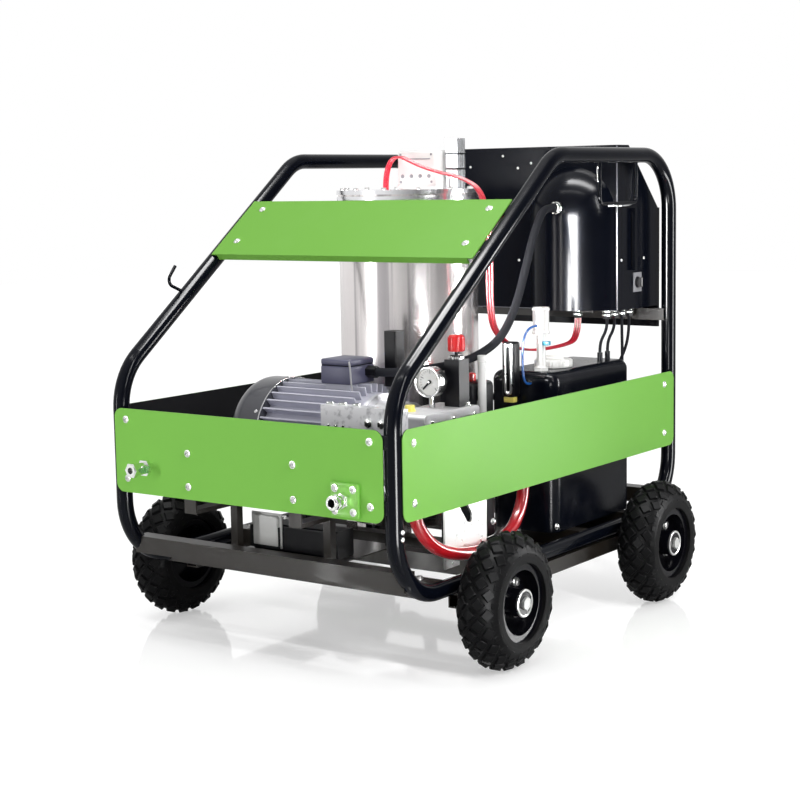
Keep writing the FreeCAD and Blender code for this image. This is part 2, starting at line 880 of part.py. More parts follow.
def tyre(name, centre):
    """A hollow tyre with its two beads inside the flanges of the rim."""
    section = size.tyre_width / 2
    crown = size.wheel_od / 2
    ring = crown - section
    flange = size.rim_flange_od / 2 + size.bead_gap
    seat = size.rim_barrel_od / 2 + size.bead_gap
    bead = size.rim_width / 2 - size.rim_sheet - size.bead_gap
    inner = section - size.tyre_wall
    shelf = flange + 4
    outer_x = math.sqrt(section ** 2 - (ring - flange) ** 2)
    inner_x = math.sqrt(inner ** 2 - (ring - shelf) ** 2)
    points = [
        Vector(-outer_x, flange, 0),
        (Vector(0, crown, 0), Vector(outer_x, flange, 0)),
        Vector(bead, flange, 0),
        Vector(bead, seat, 0),
        Vector(bead - size.bead_width, seat, 0),
        Vector(bead - size.bead_width, shelf, 0),
        Vector(inner_x, shelf, 0),
        (Vector(0, crown - size.tyre_wall, 0), Vector(-inner_x, shelf, 0)),
        Vector(size.bead_width - bead, shelf, 0),
        Vector(size.bead_width - bead, seat, 0),
        Vector(-bead, seat, 0),
        Vector(-bead, flange, 0),
    ]
    return keep(solid(name + "_body", revolved(closed_profile(points), centre)), name)


def ring_profile(left, right, inner, outer):
    """The profile of a plain ring."""
    corners = ((left, inner), (right, inner), (right, outer), (left, outer))
    return closed_profile([Vector(x, y, 0) for x, y in corners])


def rim(name, centre):
    """A steel rim with its hub, and the two bearings in the hub."""
    half = size.rim_width / 2
    sheet = size.rim_sheet
    barrel = size.rim_barrel_od / 2
    flange = size.rim_flange_od / 2
    hub = size.hub_length / 2
    rings = [
        (-half, half, barrel - sheet, barrel),
        (-half, sheet - half, barrel - sheet, flange),
        (half - sheet, half, barrel - sheet, flange),
        (-sheet, sheet, size.hub_od / 2 - 2, barrel - sheet / 2),
        (-hub, hub, size.hub_bore / 2, size.hub_od / 2),
    ]
    solids = [revolved(ring_profile(*ring), centre) for ring in rings]
    body = solids[0].multiFuse(solids[1:]).removeSplitter()
    seats = []
    bearings = []
    for start in (-hub, hub - size.bearing_width):
        end = start + size.bearing_width
        outer = size.bearing_od / 2
        seats.append(revolved(ring_profile(start, end, size.hub_bore / 2 - 1, outer), centre))
        bore = size.axle_dia / 2 + size.running_gap
        fit = outer - size.running_gap / 2
        bearings.append(revolved(ring_profile(start, end, bore, fit), centre))
    body = body.cut(Part.makeCompound(seats))
    bolts = []
    for index in range(int(size.rim_bolts)):
        turn = Rotation(X_AXIS, 45 + index * 360 / size.rim_bolts)
        place_of_bolt = centre + turn.multVec(Vector(0, 0, size.rim_bolt_circle / 2))
        body = body.cut(drill(place_of_bolt, X_AXIS, size.rim_bolt + 0.2))
        shank = drill(place_of_bolt, X_AXIS, size.rim_bolt, 2 * sheet + 10)
        start = place_of_bolt - X_AXIS * (sheet + 5)
        head = Part.makeCylinder(size.rim_bolt, 5, start, X_AXIS)
        nut = Part.makeCylinder(size.rim_bolt, 5, place_of_bolt + X_AXIS * sheet, X_AXIS)
        bolts.append(shank.multiFuse([head, nut]).removeSplitter())
    pieces = Part.makeCompound([body] + bearings + bolts)
    return keep(solid(name + "_body", pieces), name)


def wheels():
    """Four wheels, each a tyre and a rim."""
    for side, side_name in ((1, "right"), (-1, "left")):
        for end, y in (("front", size.front_axle_y), ("rear", size.rear_axle_y)):
            centre = at(side * size.wheel_track / 2, y, size.wheel_od / 2)
            tyre(f"tyre_{end}_{side_name}", centre)
            rim(f"rim_{end}_{side_name}", centre)


def bolt_and_nut(point, direction, grip):
    """A hexagon bolt whose head rests on a point, with its nut behind the grip."""
    turn = Rotation(Z_AXIS, direction)
    head = Part.makeCylinder(size.bolt_head / 2, size.bolt_head_high, point, direction)
    length = grip + size.bolt_nut_high
    shank = Part.makeCylinder(size.bolt_shank / 2, length, point - direction * length, direction)
    nut = Part.makeCylinder(size.bolt_head / 2, size.bolt_nut_high, point - direction * length, direction)
    hole = Part.makeCylinder(size.bolt_shank / 2 + 0.1, length, point - direction * length, direction)
    return [head.fuse(shank), nut.cut(hole)]


def panel_bolts():
    """The bolts and nuts of the panels, the stays and the outlet."""
    solids = []
    face = -size.tube_od / 2 - size.panel_thick
    grip = size.panel_thick + size.lug_thick
    front = Vector(0, -1, 0)
    for x in (size.front_bolt_left_x, size.front_bolt_right_x):
        for z in (size.front_bolt_low_z, size.front_bolt_high_z):
            solids += bolt_and_nut(at(x, face, z), front, grip)
    for x in (size.stay_left_x, size.stay_right_x):
        for z in (size.stay_bolt_low_z, size.stay_bolt_high_z):
            solids += bolt_and_nut(at(x, face, z), front, grip)
    for side in (-1, 1):
        outer = side * (size.frame_width / 2 + size.tube_od / 2 + size.panel_thick)
        for y in (size.side_bolt_front_y, size.side_bolt_rear_y):
            for z in (size.side_bolt_low_z, size.side_bolt_high_z):
                solids += bolt_and_nut(at(outer, y, z), X_AXIS * side, grip)
        normal = on_slope(0, 0, 1) - on_slope(0, 0, 0)
        for along in (size.top_bolt_low, size.top_bolt_high):
            point = on_slope(side * size.top_bolt_x, along, size.tube_od / 2 + size.panel_thick)
            solids += bolt_and_nut(point, normal, grip)
    half = size.outlet_bolt_pitch / 2
    grip = size.panel_thick + size.outlet_flange_thick
    for x in (-half, half):
        for z in (-half, half):
            point = at(size.outlet_x + x, face - size.outlet_flange_thick, size.outlet_z + z)
            solids += bolt_and_nut(point, front, grip)
    return keep(solid("bolt_group", Part.makeCompound(solids)), "panel_bolts")


def front_panel():
    """The front sheet with its holes for bolts, inlet and outlet."""
    corner = ("front_panel_left_x", PANEL_FACE, "panel_bottom_z")
    length = "front_panel_right_x - front_panel_left_x"
    plate = box("front_sheet", corner, (length, "panel_thick", "panel_height"))
    plate = rounded("front_sheet_rounded", plate, size.panel_corner, runs_along(Y_AXIS))
    holes = []
    places = [(x, z) for x in ("front_bolt_left_x", "front_bolt_right_x")
              for z in ("front_bolt_low_z", "front_bolt_high_z")]
    places += [(x, z) for x in ("stay_left_x", "stay_right_x")
               for z in ("stay_bolt_low_z", "stay_bolt_high_z")]
    places += [(f"outlet_x + {i} * outlet_bolt_pitch / 2", f"outlet_z + {k} * outlet_bolt_pitch / 2")
               for i in (-1, 1) for k in (-1, 1)]
    for index, (x, z) in enumerate(places):
        start = (x, f"{PANEL_FACE} - 5", z)
        holes.append(rod(f"front_hole_{index}", start, "y", "bolt_hole", "panel_thick + 10"))
    for name, x, z, width in (("inlet", "inlet_x", "inlet_z", "inlet_body"),
                              ("outlet", "outlet_x", "outlet_z", "outlet_body")):
        start = (x, f"{PANEL_FACE} - 5", z)
        holes.append(rod(name + "_hole", start, "y", f"{width} + 0.2", "panel_thick + 10"))
    return keep(cut("front_sheet_cut", plate, *holes), "front_panel")


def side_panel(side, name):
    """A side sheet outside a side frame."""
    outer = f"{HALF} + tube_od / 2"
    x = outer if side > 0 else f"-({outer}) - panel_thick"
    corner = (x, "side_panel_front_y", "panel_bottom_z")
    plate = box(name + "_sheet", corner, ("panel_thick", "side_panel_length", "panel_height"))
    plate = rounded(name + "_rounded", plate, size.panel_corner, runs_along(X_AXIS))
    holes = []
    for y in ("side_bolt_front_y", "side_bolt_rear_y"):
        for z in ("side_bolt_low_z", "side_bolt_high_z"):
            start = (f"{x} - 5", y, z)
            holes.append(rod(f"{name}_hole_{len(holes)}", start, "x", "bolt_hole", "panel_thick + 10"))
    return keep(cut(name + "_cut", plate, *holes), name)


def top_panel():
    """The sheet across the sloping tubes, with a lip folded in along its lower edge."""
    left = size.top_panel_left_x
    width = size.front_panel_right_x - left
    start = size.top_panel_start
    out = size.tube_od / 2
    thick = size.panel_thick
    plate = slope_block(left, start, out, (width, size.top_panel_height, thick))
    lip_left = -size.frame_width / 2 + size.tube_od / 2 + 2
    lip_width = size.front_panel_right_x - 12 - lip_left - 2
    lip = slope_block(lip_left, start, out - size.top_panel_lip, (lip_width, thick, size.top_panel_lip))
    body = plate.fuse(lip)
    normal = on_slope(0, 0, 1) - on_slope(0, 0, 0)
    holes = [drill(on_slope(side * size.top_bolt_x, along, out), normal)
             for side in (-1, 1) for along in (size.top_bolt_low, size.top_bolt_high)]
    return keep(solid("top_sheet", body.cut(Part.makeCompound(holes))), "top_panel")


def hose_hooks():
    """The U-shaped hose hook and the J-shaped lance hook."""
    x = size.frame_width / 2
    top = size.frame_top_z - size.tube_od / 4
    low = size.hose_hook_low_z
    front = size.hose_hook_front_y
    rear = size.hose_hook_rear_y
    points = [at(x, front, top), at(x, front, low), at(x, rear, low), at(x, rear, top)]
    hose_hook = bent_tube(points, [size.hook_bend] * 2, size.hose_hook_rod)
    points = [
        at(-x, size.lance_hook_foot_y, size.lance_hook_foot_z),
        at(-x, size.lance_hook_bend_y, size.lance_hook_bend_z),
        at(-x, size.lance_hook_tip_y, size.lance_hook_tip_z),
    ]
    lance_hook = bent_tube(points, [size.hook_bend], size.lance_hook_rod)
    rods = solid("hook_rods", Part.makeCompound([hose_hook, lance_hook]))
    return keep(coped("coped_hooks", rods), "hose_hooks")


def motor_stand():
    """The stand under the motor with its tray and the two stays to the front panel."""
    leg = "stand_leg"
    depth = "motor_rear_beam_y - motor_front_beam_y + stand_leg"
    front = "motor_front_beam_y - stand_leg / 2"
    top_z = f"{STAND_TOP} - stand_top_thick"
    length = "stand_right_x - stand_left_x"
    pieces = [box("stand_top", ("stand_left_x", front, top_z), (length, depth, "stand_top_thick"))]
    tray_length = "stand_leg_right_x + stand_leg - stand_left_x"
    tray = box("stand_tray", ("stand_left_x", front, "floor_top_z"), (tray_length, depth, "stand_tray_thick"))
    pieces.append(tray)
    for index, x in enumerate(("stand_left_x", "stand_leg_right_x"), start=1):
        for end in ("front", "rear"):
            y = f"motor_{end}_beam_y - stand_leg / 2"
            sides = (leg, leg, f"{top_z} - floor_top_z")
            pieces.append(box(f"stand_leg_{end}_{index}", (x, y, "floor_top_z"), sides))
    for name, x in (("left", "stay_left_x"), ("right", "stay_right_x")):
        corner = (f"{x} - stay_wide / 2", "-tube_od / 2", top_z)
        high = "stay_bolt_high_z + 20 - (" + top_z + ")"
        plate = box(f"stay_{name}_plate", corner, ("stay_wide", "stay_thick", high))
        arm = box(f"stay_{name}_arm", corner, ("stay_wide", f"{front} + tube_od / 2", "stand_top_thick"))
        pieces += [plate, arm]
    holes = []
    for x in ("stay_left_x", "stay_right_x"):
        for z in ("stay_bolt_low_z", "stay_bolt_high_z"):
            start = (x, "-tube_od / 2 - 5", z)
            holes.append(rod(f"stay_hole_{len(holes)}", start, "y", "bolt_hole", "stay_thick + 10"))
    return keep(cut("stand", fused("stand_frame", *pieces), *holes), "motor_stand")


def motor_body():
    """The finned housing of the motor with its feet and the boss of its terminal box."""
    axis = (f"{0}", "motor_y", "motor_z")
    start = ("motor_left_x", axis[1], axis[2])
    core = rod("motor_core", start, "x", "motor_core", "motor_length")
    reach = size.motor_over_fins / 2
    fins = []
    inner = size.motor_core / 2 - 4
    thick = size.motor_fin_thick
    centre = at(size.motor_left_x + 8, size.motor_y, size.motor_z)
    for index in range(int(size.motor_fins)):
        fin = Part.makeBox(size.motor_length - 24, thick, reach - inner, Vector(0, -thick / 2, inner))
        fin.Placement = Placement(centre, Rotation(X_AXIS, (index + 0.5) * 360 / size.motor_fins))
        fins.append(fin)
    fins = solid("motor_fins", Part.makeCompound(fins))
    pieces = [core, fins]
    for index, x in enumerate(("motor_left_x + 16", "motor_left_x + motor_length - 60"), start=1):
        corner = (x, "motor_y - motor_foot_spread / 2", STAND_TOP)
        sides = ("motor_foot_wide", "motor_foot_spread", "motor_foot_thick")
        pieces.append(box(f"motor_foot_{index}", corner, sides))
        web_corner = (x, "motor_y - motor_foot_spread / 2 + 20", STAND_TOP)
        web_sides = ("motor_foot_wide", "motor_foot_spread - 40", "60")
        pieces.append(box(f"motor_web_{index}", web_corner, web_sides))
    boss_corner = ("terminal_box_x + 8", "terminal_box_y + 8", "motor_z + 80")
    boss_sides = ("terminal_box_long - 16", "terminal_box_deep - 16", "motor_boss_top_z - motor_z - 80")
    pieces.append(box("terminal_boss", boss_corner, boss_sides))
    inside = rod("motor_inside", ("motor_left_x + motor_end_wall", axis[1], axis[2]), "x",
                 "motor_bore", "motor_length - 2 * motor_end_wall")
    through = rod("motor_through", ("motor_left_x - 5", axis[1], axis[2]), "x",
                  "shaft_dia + 2 * running_gap", "motor_length + 10")
    return keep(cut("motor_housing", fused("motor_solid", *pieces), inside, through), "motor_body")


def fan_cowl():
    """The sheet cowl over the fan, with its ring of slots."""
    outer = "motor_over_fins + 2 * side_gap + 2 * cowl_wall"
    left = "motor_left_x + cowl_overlap - cowl_length"
    shell = rod("cowl_shell", (left, "motor_y", "motor_z"), "x", outer, "cowl_length")
    start = (f"{left} + cowl_wall", "motor_y", "motor_z")
    space = rod("cowl_space", start, "x", "motor_over_fins + 2 * side_gap", "cowl_length")
    slots = []
    centre = at(size.motor_left_x + size.cowl_overlap - size.cowl_length, size.motor_y, size.motor_z)
    for index in range(int(size.cowl_slots)):
        slot = Part.makeBox(30, 6, 62, Vector(-15, -3, 45))
        slot.Placement = Placement(centre, Rotation(X_AXIS, index * 360 / size.cowl_slots))
        slots.append(slot)
    slots = solid("cowl_slots", Part.makeCompound(slots))
    return keep(cut("cowl", shell, space, slots), "fan_cowl")


def cooling_fan():
    """The fan on the rear end of the motor's shaft."""
    left = size.motor_left_x - 56
    centre = at(left, size.motor_y, size.motor_z)
    hub = Part.makeCylinder(40, size.fan_width, centre, X_AXIS)
    disc = Part.makeCylinder(size.fan_dia / 2 - 6, 3, centre + X_AXIS * (size.fan_width - 3), X_AXIS)
    blades = []
    for index in range(int(size.fan_blades)):
        blade = Part.makeBox(size.fan_width, 4, size.fan_dia / 2 - 30, Vector(0, -2, 30))
        blade.Placement = Placement(centre, Rotation(X_AXIS, index * 360 / size.fan_blades))
        blades.append(blade)
    body = hub.multiFuse([disc] + blades)
    bore = Part.makeCylinder(size.shaft_dia / 2 + 0.05, 200, centre - X_AXIS * 80, X_AXIS)
    return keep(solid("fan", body.cut(bore)), "cooling_fan")


def motor_shaft():
    """The rotor, its shaft and the half of the coupling in the bell housing."""
    start = ("motor_left_x - 60", "motor_y", "motor_z")
    length = "motor_length + 60 + 36"
    shaft = rod("shaft_bar", start, "x", "shaft_dia", length)
    rotor_start = ("motor_left_x + motor_end_wall + 20", "motor_y", "motor_z")
    rotor = rod("rotor_core", rotor_start, "x", "rotor_dia", "motor_length - 2 * motor_end_wall - 40")
    coupling_start = (f"{MOTOR_RIGHT} + 12", "motor_y", "motor_z")
    coupling = rod("coupling_half", coupling_start, "x", "coupling_dia", "24")
    return keep(fused("rotor", shaft, rotor, coupling), "motor_shaft")


def terminal_box():
    """The connection box on the motor, its lid and its boss for the conduit."""
    corner = ("terminal_box_x", "terminal_box_y", "motor_boss_top_z")
    sides = ("terminal_box_long", "terminal_box_deep", "terminal_box_high")
    outer = box("terminal_outer", corner, sides)
    wall = "terminal_box_wall"
    inner_corner = tuple(f"{value} + {wall}" for value in corner)
    inner_sides = (f"terminal_box_long - 2 * {wall}", f"terminal_box_deep - 2 * {wall}", "terminal_box_high")
    base = cut("terminal_base", outer, box("terminal_inner", inner_corner, inner_sides))
    lid_corner = (corner[0], corner[1], "motor_boss_top_z + terminal_box_high")
    lid = box("terminal_lid", lid_corner, ("terminal_box_long", "terminal_box_deep", "terminal_lid_high"))
    lid = rounded("terminal_lid_rounded", lid, 6, lambda edge: edge.CenterOfMass.z > size.motor_boss_top_z
                  + size.terminal_box_high + size.terminal_lid_high - 0.1)
    return keep(group("terminal_parts", base, lid), "motor_terminal_box")


def bell_housing():
    """The housing between the motor and the pump."""
    start = (MOTOR_RIGHT, "motor_y", "motor_z")
    shell = rod("bell_shell", start, "x", "bell_od", "bell_length")
    flange = rod("bell_flange_disc", start, "x", "bell_flange", "bell_flange_thick")
    space_start = (f"{MOTOR_RIGHT} - 1", "motor_y", "motor_z")
    space = rod("bell_space", space_start, "x", "bell_od - 2 * bell_wall", "bell_length - bell_wall + 1")
    bore = rod("bell_bore", space_start, "x", "crank_journal + 2 * running_gap + 20", "bell_length + 5")
    return keep(cut("bell", fused("bell_solid", shell, flange), space, bore), "bell_housing")


def pump_crankcase():
    """The hollow crankcase of the pump, open towards the three plungers."""
    low = "motor_z - crankcase_below"
    high = "crankcase_below + crankcase_above"
    corner = (PUMP_LEFT, CRANKCASE_FRONT, low)
    outer = box("crankcase_outer", corner, ("pump_length", "crankcase_deep", high))
    outer = rounded("crankcase_rounded", outer, size.crankcase_edge, runs_along(X_AXIS))
    wall = "crankcase_wall"
    inner_corner = (f"{PUMP_LEFT} + {wall}", f"{CRANKCASE_FRONT} + {wall}", f"{low} + {wall}")
    inner_sides = (f"pump_length - 2 * {wall}", f"crankcase_deep - 2 * {wall}", f"{high} - 2 * {wall}")
    inner = box("crankcase_inner", inner_corner, inner_sides)
    start = (f"{PUMP_LEFT} - 5", "motor_y", "motor_z")
    bore = rod("crankcase_bore", start, "x", "crank_journal + 2 * running_gap", f"{wall} + 10")
    holes = plunger_holes("crankcase", CRANKCASE_FRONT)
    return keep(cut("crankcase", outer, inner, bore, *holes), "pump_crankcase")


def plunger_x(index):
    """The place across the pump of one of its three plungers."""
    return f"{PUMP_LEFT} + pump_length / 2 + {index - 1} * plunger_pitch"


def plunger_holes(name, front):
    """The three running bores of the plungers through a wall at the crankcase's front."""
    holes = []
    for index in range(3):
        start = (plunger_x(index), f"{front} - 1", "motor_z")
        width = "plunger_dia + 2 * plunger_gap"
        holes.append(rod(f"{name}_plunger_hole_{index}", start, "y", width, "crankcase_wall + 2"))
    return holes


def pump_head():
    """The valve head of the pump with its caps, its pressure manifold and its suction port."""
    left = f"{PUMP_LEFT} + head_side"
    front = f"{CRANKCASE_FRONT} - head_deep"
    corner = (left, front, "head_low_z")
    block = box("head_block", corner, ("pump_length - 2 * head_side", "head_deep", "head_high"))
    block = rounded("head_rounded", block, 6, runs_along(X_AXIS))
    pieces = [block]
    for index in range(3):
        top = (plunger_x(index), f"{front} + 50", "head_low_z + head_high - 2")
        pieces.append(hexagon(f"valve_cap_top_{index}", top, "z", "valve_cap", "valve_cap_high + 2"))
        face = (plunger_x(index), f"{front} + 2", "head_low_z + 28")
        pieces.append(hexagon(f"valve_cap_front_{index}", face, "-y", "valve_cap", "valve_cap_high + 2"))
    manifold_corner = ("manifold_left_x", "manifold_front_y", "head_low_z + head_high - 2")
    manifold_sides = (f"{PUMP_RIGHT} - head_side - manifold_left_x", "manifold_deep", "manifold_high")
    pieces.append(box("manifold", manifold_corner, manifold_sides))
    block_corner = ("suction_port_x - suction_block / 2", "suction_port_y - suction_block / 2", "head_low_z")
    pieces.append(box("suction_elbow", block_corner, ("suction_block", "suction_block", "suction_block")))
    port = ("suction_port_x", "suction_port_y", "suction_port_z")
    length = "head_low_z - suction_port_z + 2"
    pieces.append(rod("suction_port", port, "z", "suction_hose_dia + 4", length))
    holes = []
    for index in range(3):
        start = (plunger_x(index), f"{front} + 8", "motor_z")
        width = "plunger_dia + 2 * plunger_gap"
        holes.append(rod(f"head_plunger_hole_{index}", start, "y", width, "head_deep"))
    passage = ("suction_port_x", "suction_port_y", "suction_port_z - 1")
    holes.append(rod("suction_passage", passage, "z", "suction_hose_bore", "head_low_z - suction_port_z + 20"))
    return keep(cut("head", fused("head_solid", *pieces), *holes), "pump_head")


def pump_crankshaft():
    """The crankshaft with its three eccentrics and its half of the coupling."""
    centre = at(size.motor_left_x + size.motor_length + size.bell_length, size.motor_y, size.motor_z)
    start = centre - X_AXIS * (size.bell_length - 37)
    length = size.bell_length - 37 + size.pump_length - size.crankcase_wall - 1
    shaft = Part.makeCylinder(size.crank_journal / 2, length, start, X_AXIS)
    coupling = Part.makeCylinder(size.coupling_dia / 2, 24, start, X_AXIS)
    discs = []
    for index in range(3):
        x = size.pump_length / 2 + (index - 1) * size.plunger_pitch - size.crank_disc_wide / 2
        throw = Rotation(X_AXIS, index * 120).multVec(Vector(0, 0, size.crank_throw))
        place_of_disc = centre + X_AXIS * x + throw
        discs.append(Part.makeCylinder(size.crank_disc / 2, size.crank_disc_wide, place_of_disc, X_AXIS))
    return keep(solid("crankshaft", shaft.multiFuse([coupling] + discs)), "pump_crankshaft")


def pump_plungers():
    """The three plungers, from the crankcase into the head."""
    pieces = []
    for index in range(3):
        start = (plunger_x(index), "motor_y - plunger_rear", "motor_z")
        pieces.append(rod(f"plunger_{index}", start, "-y", "plunger_dia", "plunger_length"))
    return keep(group("plungers", *pieces), "pump_plungers")


def unloader_valve():
    """The pressure control valve on the pump, with the stem of its knob."""
    corner = ("unloader_x - unloader_block / 2", "unloader_y - unloader_block / 2", CRANKCASE_TOP)
    pieces = [box("unloader_block", corner, ("unloader_block", "unloader_block", "unloader_block_high"))]
    start = ("unloader_x", "unloader_y", CRANKCASE_TOP)
    top = f"unloader_top_z - ({CRANKCASE_TOP})"
    pieces.append(rod("unloader_body", start, "z", "unloader_body", f"{top} - 8"))
    pieces.append(rod("unloader_stem", start, "z", "unloader_stem", f"{top} + 16"))
    return keep(fused("unloader", *pieces), "unloader_valve")


def unloader_knob():
    """The red knob of the pressure control valve."""
    start = ("unloader_x", "unloader_y", "unloader_top_z")
    knob = rod("knob_body", start, "z", "knob_dia", "knob_high")
    top = size.unloader_top_z + size.knob_high
    knob = rounded("knob_rounded", knob, 4, lambda edge: edge.CenterOfMass.z > top - 0.1
                   and len(edge.Vertexes) == 1)
    below = ("unloader_x", "unloader_y", "unloader_top_z - 1")
    bore = rod("knob_bore", below, "z", "unloader_stem + 2 * running_gap", "18")
    return keep(cut("knob", knob, bore), "unloader_knob")


def pressure_gauge():
    """The gauge with its recessed dial, pin and stem."""
    start = ("gauge_x", "gauge_y", "gauge_z")
    case = rod("gauge_case", start, "y", "gauge_dia", "gauge_deep")
    recess_start = ("gauge_x", "gauge_y - 1", "gauge_z")
    recess = rod("gauge_recess", recess_start, "y", "gauge_dial", "gauge_recess + 1")
    cup = cut("gauge_cup", case, recess)
    pin = rod("gauge_pin", ("gauge_x", "gauge_y + 5", "gauge_z"), "y", "needle_pin", "gauge_recess")
    stem_start = ("gauge_x", "gauge_y + gauge_deep / 2 + 4", CRANKCASE_TOP)
    stem = rod("gauge_stem", stem_start, "z", "gauge_stem", f"gauge_z - gauge_dia / 2 + 4 - ({CRANKCASE_TOP})")
    return keep(fused("gauge", cup, pin, stem), "pressure_gauge")


def gauge_needle():
    """The needle of the gauge, at rest towards the lower left."""
    y = size.gauge_y + 7.5
    centre = at(size.gauge_x, y, size.gauge_z)
    hub = Part.makeCylinder(4.5, size.needle_thick, centre, Y_AXIS)
    arm = Part.makeBox(size.needle_wide, size.needle_thick, size.needle_long,
                       Vector(-size.needle_wide / 2, 0, 0))
    arm.Placement = Placement(centre, Rotation(Y_AXIS, -135))
    bore = Part.makeCylinder(size.needle_pin / 2 + size.running_gap, 6, centre - Y_AXIS * 2, Y_AXIS)
    return keep(solid("needle", hub.fuse(arm).cut(bore)), "gauge_needle")


def pressure_switch():
    """The black pressure switch on its stem above the bell housing."""
    corner = ("pressure_switch_x", "pressure_switch_y", "pressure_switch_z")
    sides = ("pressure_switch_wide", "pressure_switch_deep", "pressure_switch_high")
    case = rounded("switch_case_rounded", box("switch_case", corner, sides), 4, runs_along(Z_AXIS))
    x = f"{MOTOR_RIGHT} + bell_flange_thick / 2"
    y = "pressure_switch_y + pressure_switch_deep / 2"
    start = (x, y, "motor_z + 60")
    stem = rod("switch_stem_post", start, "z", "9", "pressure_switch_z - motor_z - 55")
    around = (MOTOR_RIGHT, "motor_y", "motor_z")
    tool = rod("switch_stem_saddle", around, "x", "bell_od + 0.2", "bell_length")
    flange = rod("switch_stem_flange", around, "x", "bell_flange + 0.2", "bell_flange_thick + 0.2")
    return keep(cut("pressure_switch_body", fused("switch_solid", case, stem), tool, flange), "pressure_switch")


def pump_bracket():
    """The slotted plate that carries the outer side of the pump."""
    corner = (PUMP_RIGHT, "bracket_y", "floor_top_z")
    plate = box("bracket_plate", corner, ("bracket_thick", "bracket_deep", "bracket_top_z - floor_top_z"))
    foot_corner = (f"{PUMP_RIGHT} - 30", "motor_rear_beam_y - beam_side / 2", "floor_top_z")
    foot = box("bracket_foot", foot_corner, ("31", "beam_side", "bracket_thick"))
    notch_start = (f"{PUMP_RIGHT} - 5", "bracket_y + bracket_notch_from", "floor_top_z")
    notch = rod("bracket_notch", notch_start, "x", "bracket_notch", "20")
    wide = size.bracket_slot_wide
    long = size.bracket_slot_long - wide
    slot = Part.makeBox(20, wide, long, Vector(-10, -wide / 2, -long / 2))
    for end in (-long / 2, long / 2):
        slot = slot.fuse(Part.makeCylinder(wide / 2, 20, Vector(-10, 0, end), X_AXIS))
    middle = at(size.motor_left_x + size.motor_length + size.bell_length + size.pump_length,
                size.bracket_y + size.bracket_deep / 2, size.bracket_slot_z)
    slot.Placement = Placement(middle, Rotation(X_AXIS, 38))
    slot = solid("bracket_slot", slot)
    return keep(cut("bracket", fused("bracket_solid", plate, foot), notch, slot), "pump_bracket")


def flow_switch():
    """The control box in the stand, with its white cover."""
    z = "floor_top_z + stand_tray_thick"
    corner = ("flow_switch_x", "flow_switch_y", z)
    case = box("flow_case", corner, ("flow_switch_long", "flow_switch_deep", "flow_switch_high"))
    case = rounded("flow_case_rounded", case, 5, runs_along(X_AXIS))
    cover_corner = ("flow_switch_x - 4", "flow_switch_y - 8", f"{z} + 6")
    cover = box("flow_cover", cover_corner, ("flow_cover_long", "8", "flow_cover_high"))
    return keep(group("flow_parts", case, cover), "flow_switch")


def boiler_shell():
    """The upright heating vessel with its bottom and its feet."""
    start = ("boiler_x", "boiler_y", "boiler_bottom_z")
    high = "boiler_top_z - boiler_bottom_z"
    outer = rod("boiler_outer", start, "z", "boiler_dia", high)
    space_start = ("boiler_x", "boiler_y", "boiler_bottom_z + boiler_wall")
    space = rod("boiler_space", space_start, "z", "boiler_dia - 2 * boiler_wall", high)
    vessel = cut("boiler_vessel", outer, space)
    legs = []
    for index, (i, beam) in enumerate(((-1, "front"), (1, "front"), (-1, "rear"), (1, "rear"))):
        reach = "70" if beam == "front" else "90"
        x = f"boiler_x + {i} * {reach} - boiler_leg / 2"
        corner = (x, f"boiler_{beam}_beam_y - boiler_leg / 2", "floor_top_z")
        sides = ("boiler_leg", "boiler_leg", "boiler_bottom_z - floor_top_z + 1")
        legs.append(box(f"boiler_leg_{index}", corner, sides))
    return keep(fused("boiler", vessel, *legs), "boiler_shell")


def element_places():
    """The place on the lid of each of the three heating elements."""
    return [f"boiler_x + {index} * element_pitch" for index in (0, 1, 2)]


def boiler_lid():
    """The lid with the holes of the heating elements."""
    start = ("boiler_x", "boiler_y", "boiler_top_z")
    lid = rod("lid_disc", start, "z", "lid_dia", "lid_thick")
    holes = []
    for x in element_places():
        for side in (-1, 1):
            y = f"boiler_y + {side} * element_gap / 2"
            start = (f"{x} + 24", y, "boiler_top_z - 1")
            holes.append(rod(f"lid_hole_{len(holes)}", start, "z", "element_rod + 0.2", "lid_thick + 2"))
    return keep(cut("lid", lid, *holes), "boiler_lid")


def heating_elements():
    """Three hairpin heating elements that hang through the lid."""
    hairpins = []
    top = size.boiler_top_z + size.lid_thick + size.element_stub
    half = size.element_gap / 2
    for index in range(3):
        x = size.boiler_x + index * size.element_pitch + 24
        corners = ((-half, top), (-half, size.element_bottom_z), (half, size.element_bottom_z), (half, top))
        points = [at(x, size.boiler_y + y, z) for y, z in corners]
        hairpins.append(bent_tube(points, [half - 0.5] * 2, size.element_rod))
    return keep(solid("hairpins", Part.makeCompound(hairpins)), "heating_elements")


def terminal_cover():
    """The white cover over the ends of the heating elements."""
    corner = ("cover_x", "cover_y", LID_TOP)
    outer = box("cover_outer", corner, ("cover_long", "cover_deep", "cover_high"))
    top = size.boiler_top_z + size.lid_thick + size.cover_high
    outer = rounded("cover_rounded", outer, 5, lambda edge: edge.CenterOfMass.z > top - 0.1)
    wall = "cover_wall"
    inner_corner = (f"cover_x + {wall}", f"cover_y + {wall}", f"{LID_TOP} - {wall}")
    inner_sides = (f"cover_long - 2 * {wall}", f"cover_deep - 2 * {wall}", "cover_high")
    return keep(cut("cover", outer, box("cover_inner", inner_corner, inner_sides)), "terminal_cover")


def vent_post():
    """The square vent post on the lid."""
    half = "vent_side / 2"
    corner = (f"vent_x - {half}", f"vent_y - {half}", LID_TOP)
    post = box("vent_outer", corner, ("vent_side", "vent_side", "vent_high"))
    start = ("vent_x", "vent_y", f"{LID_TOP} + 12")
    return keep(cut("vent", post, rod("vent_hole", start, "z", "vent_bore", "vent_high")), "vent_post")


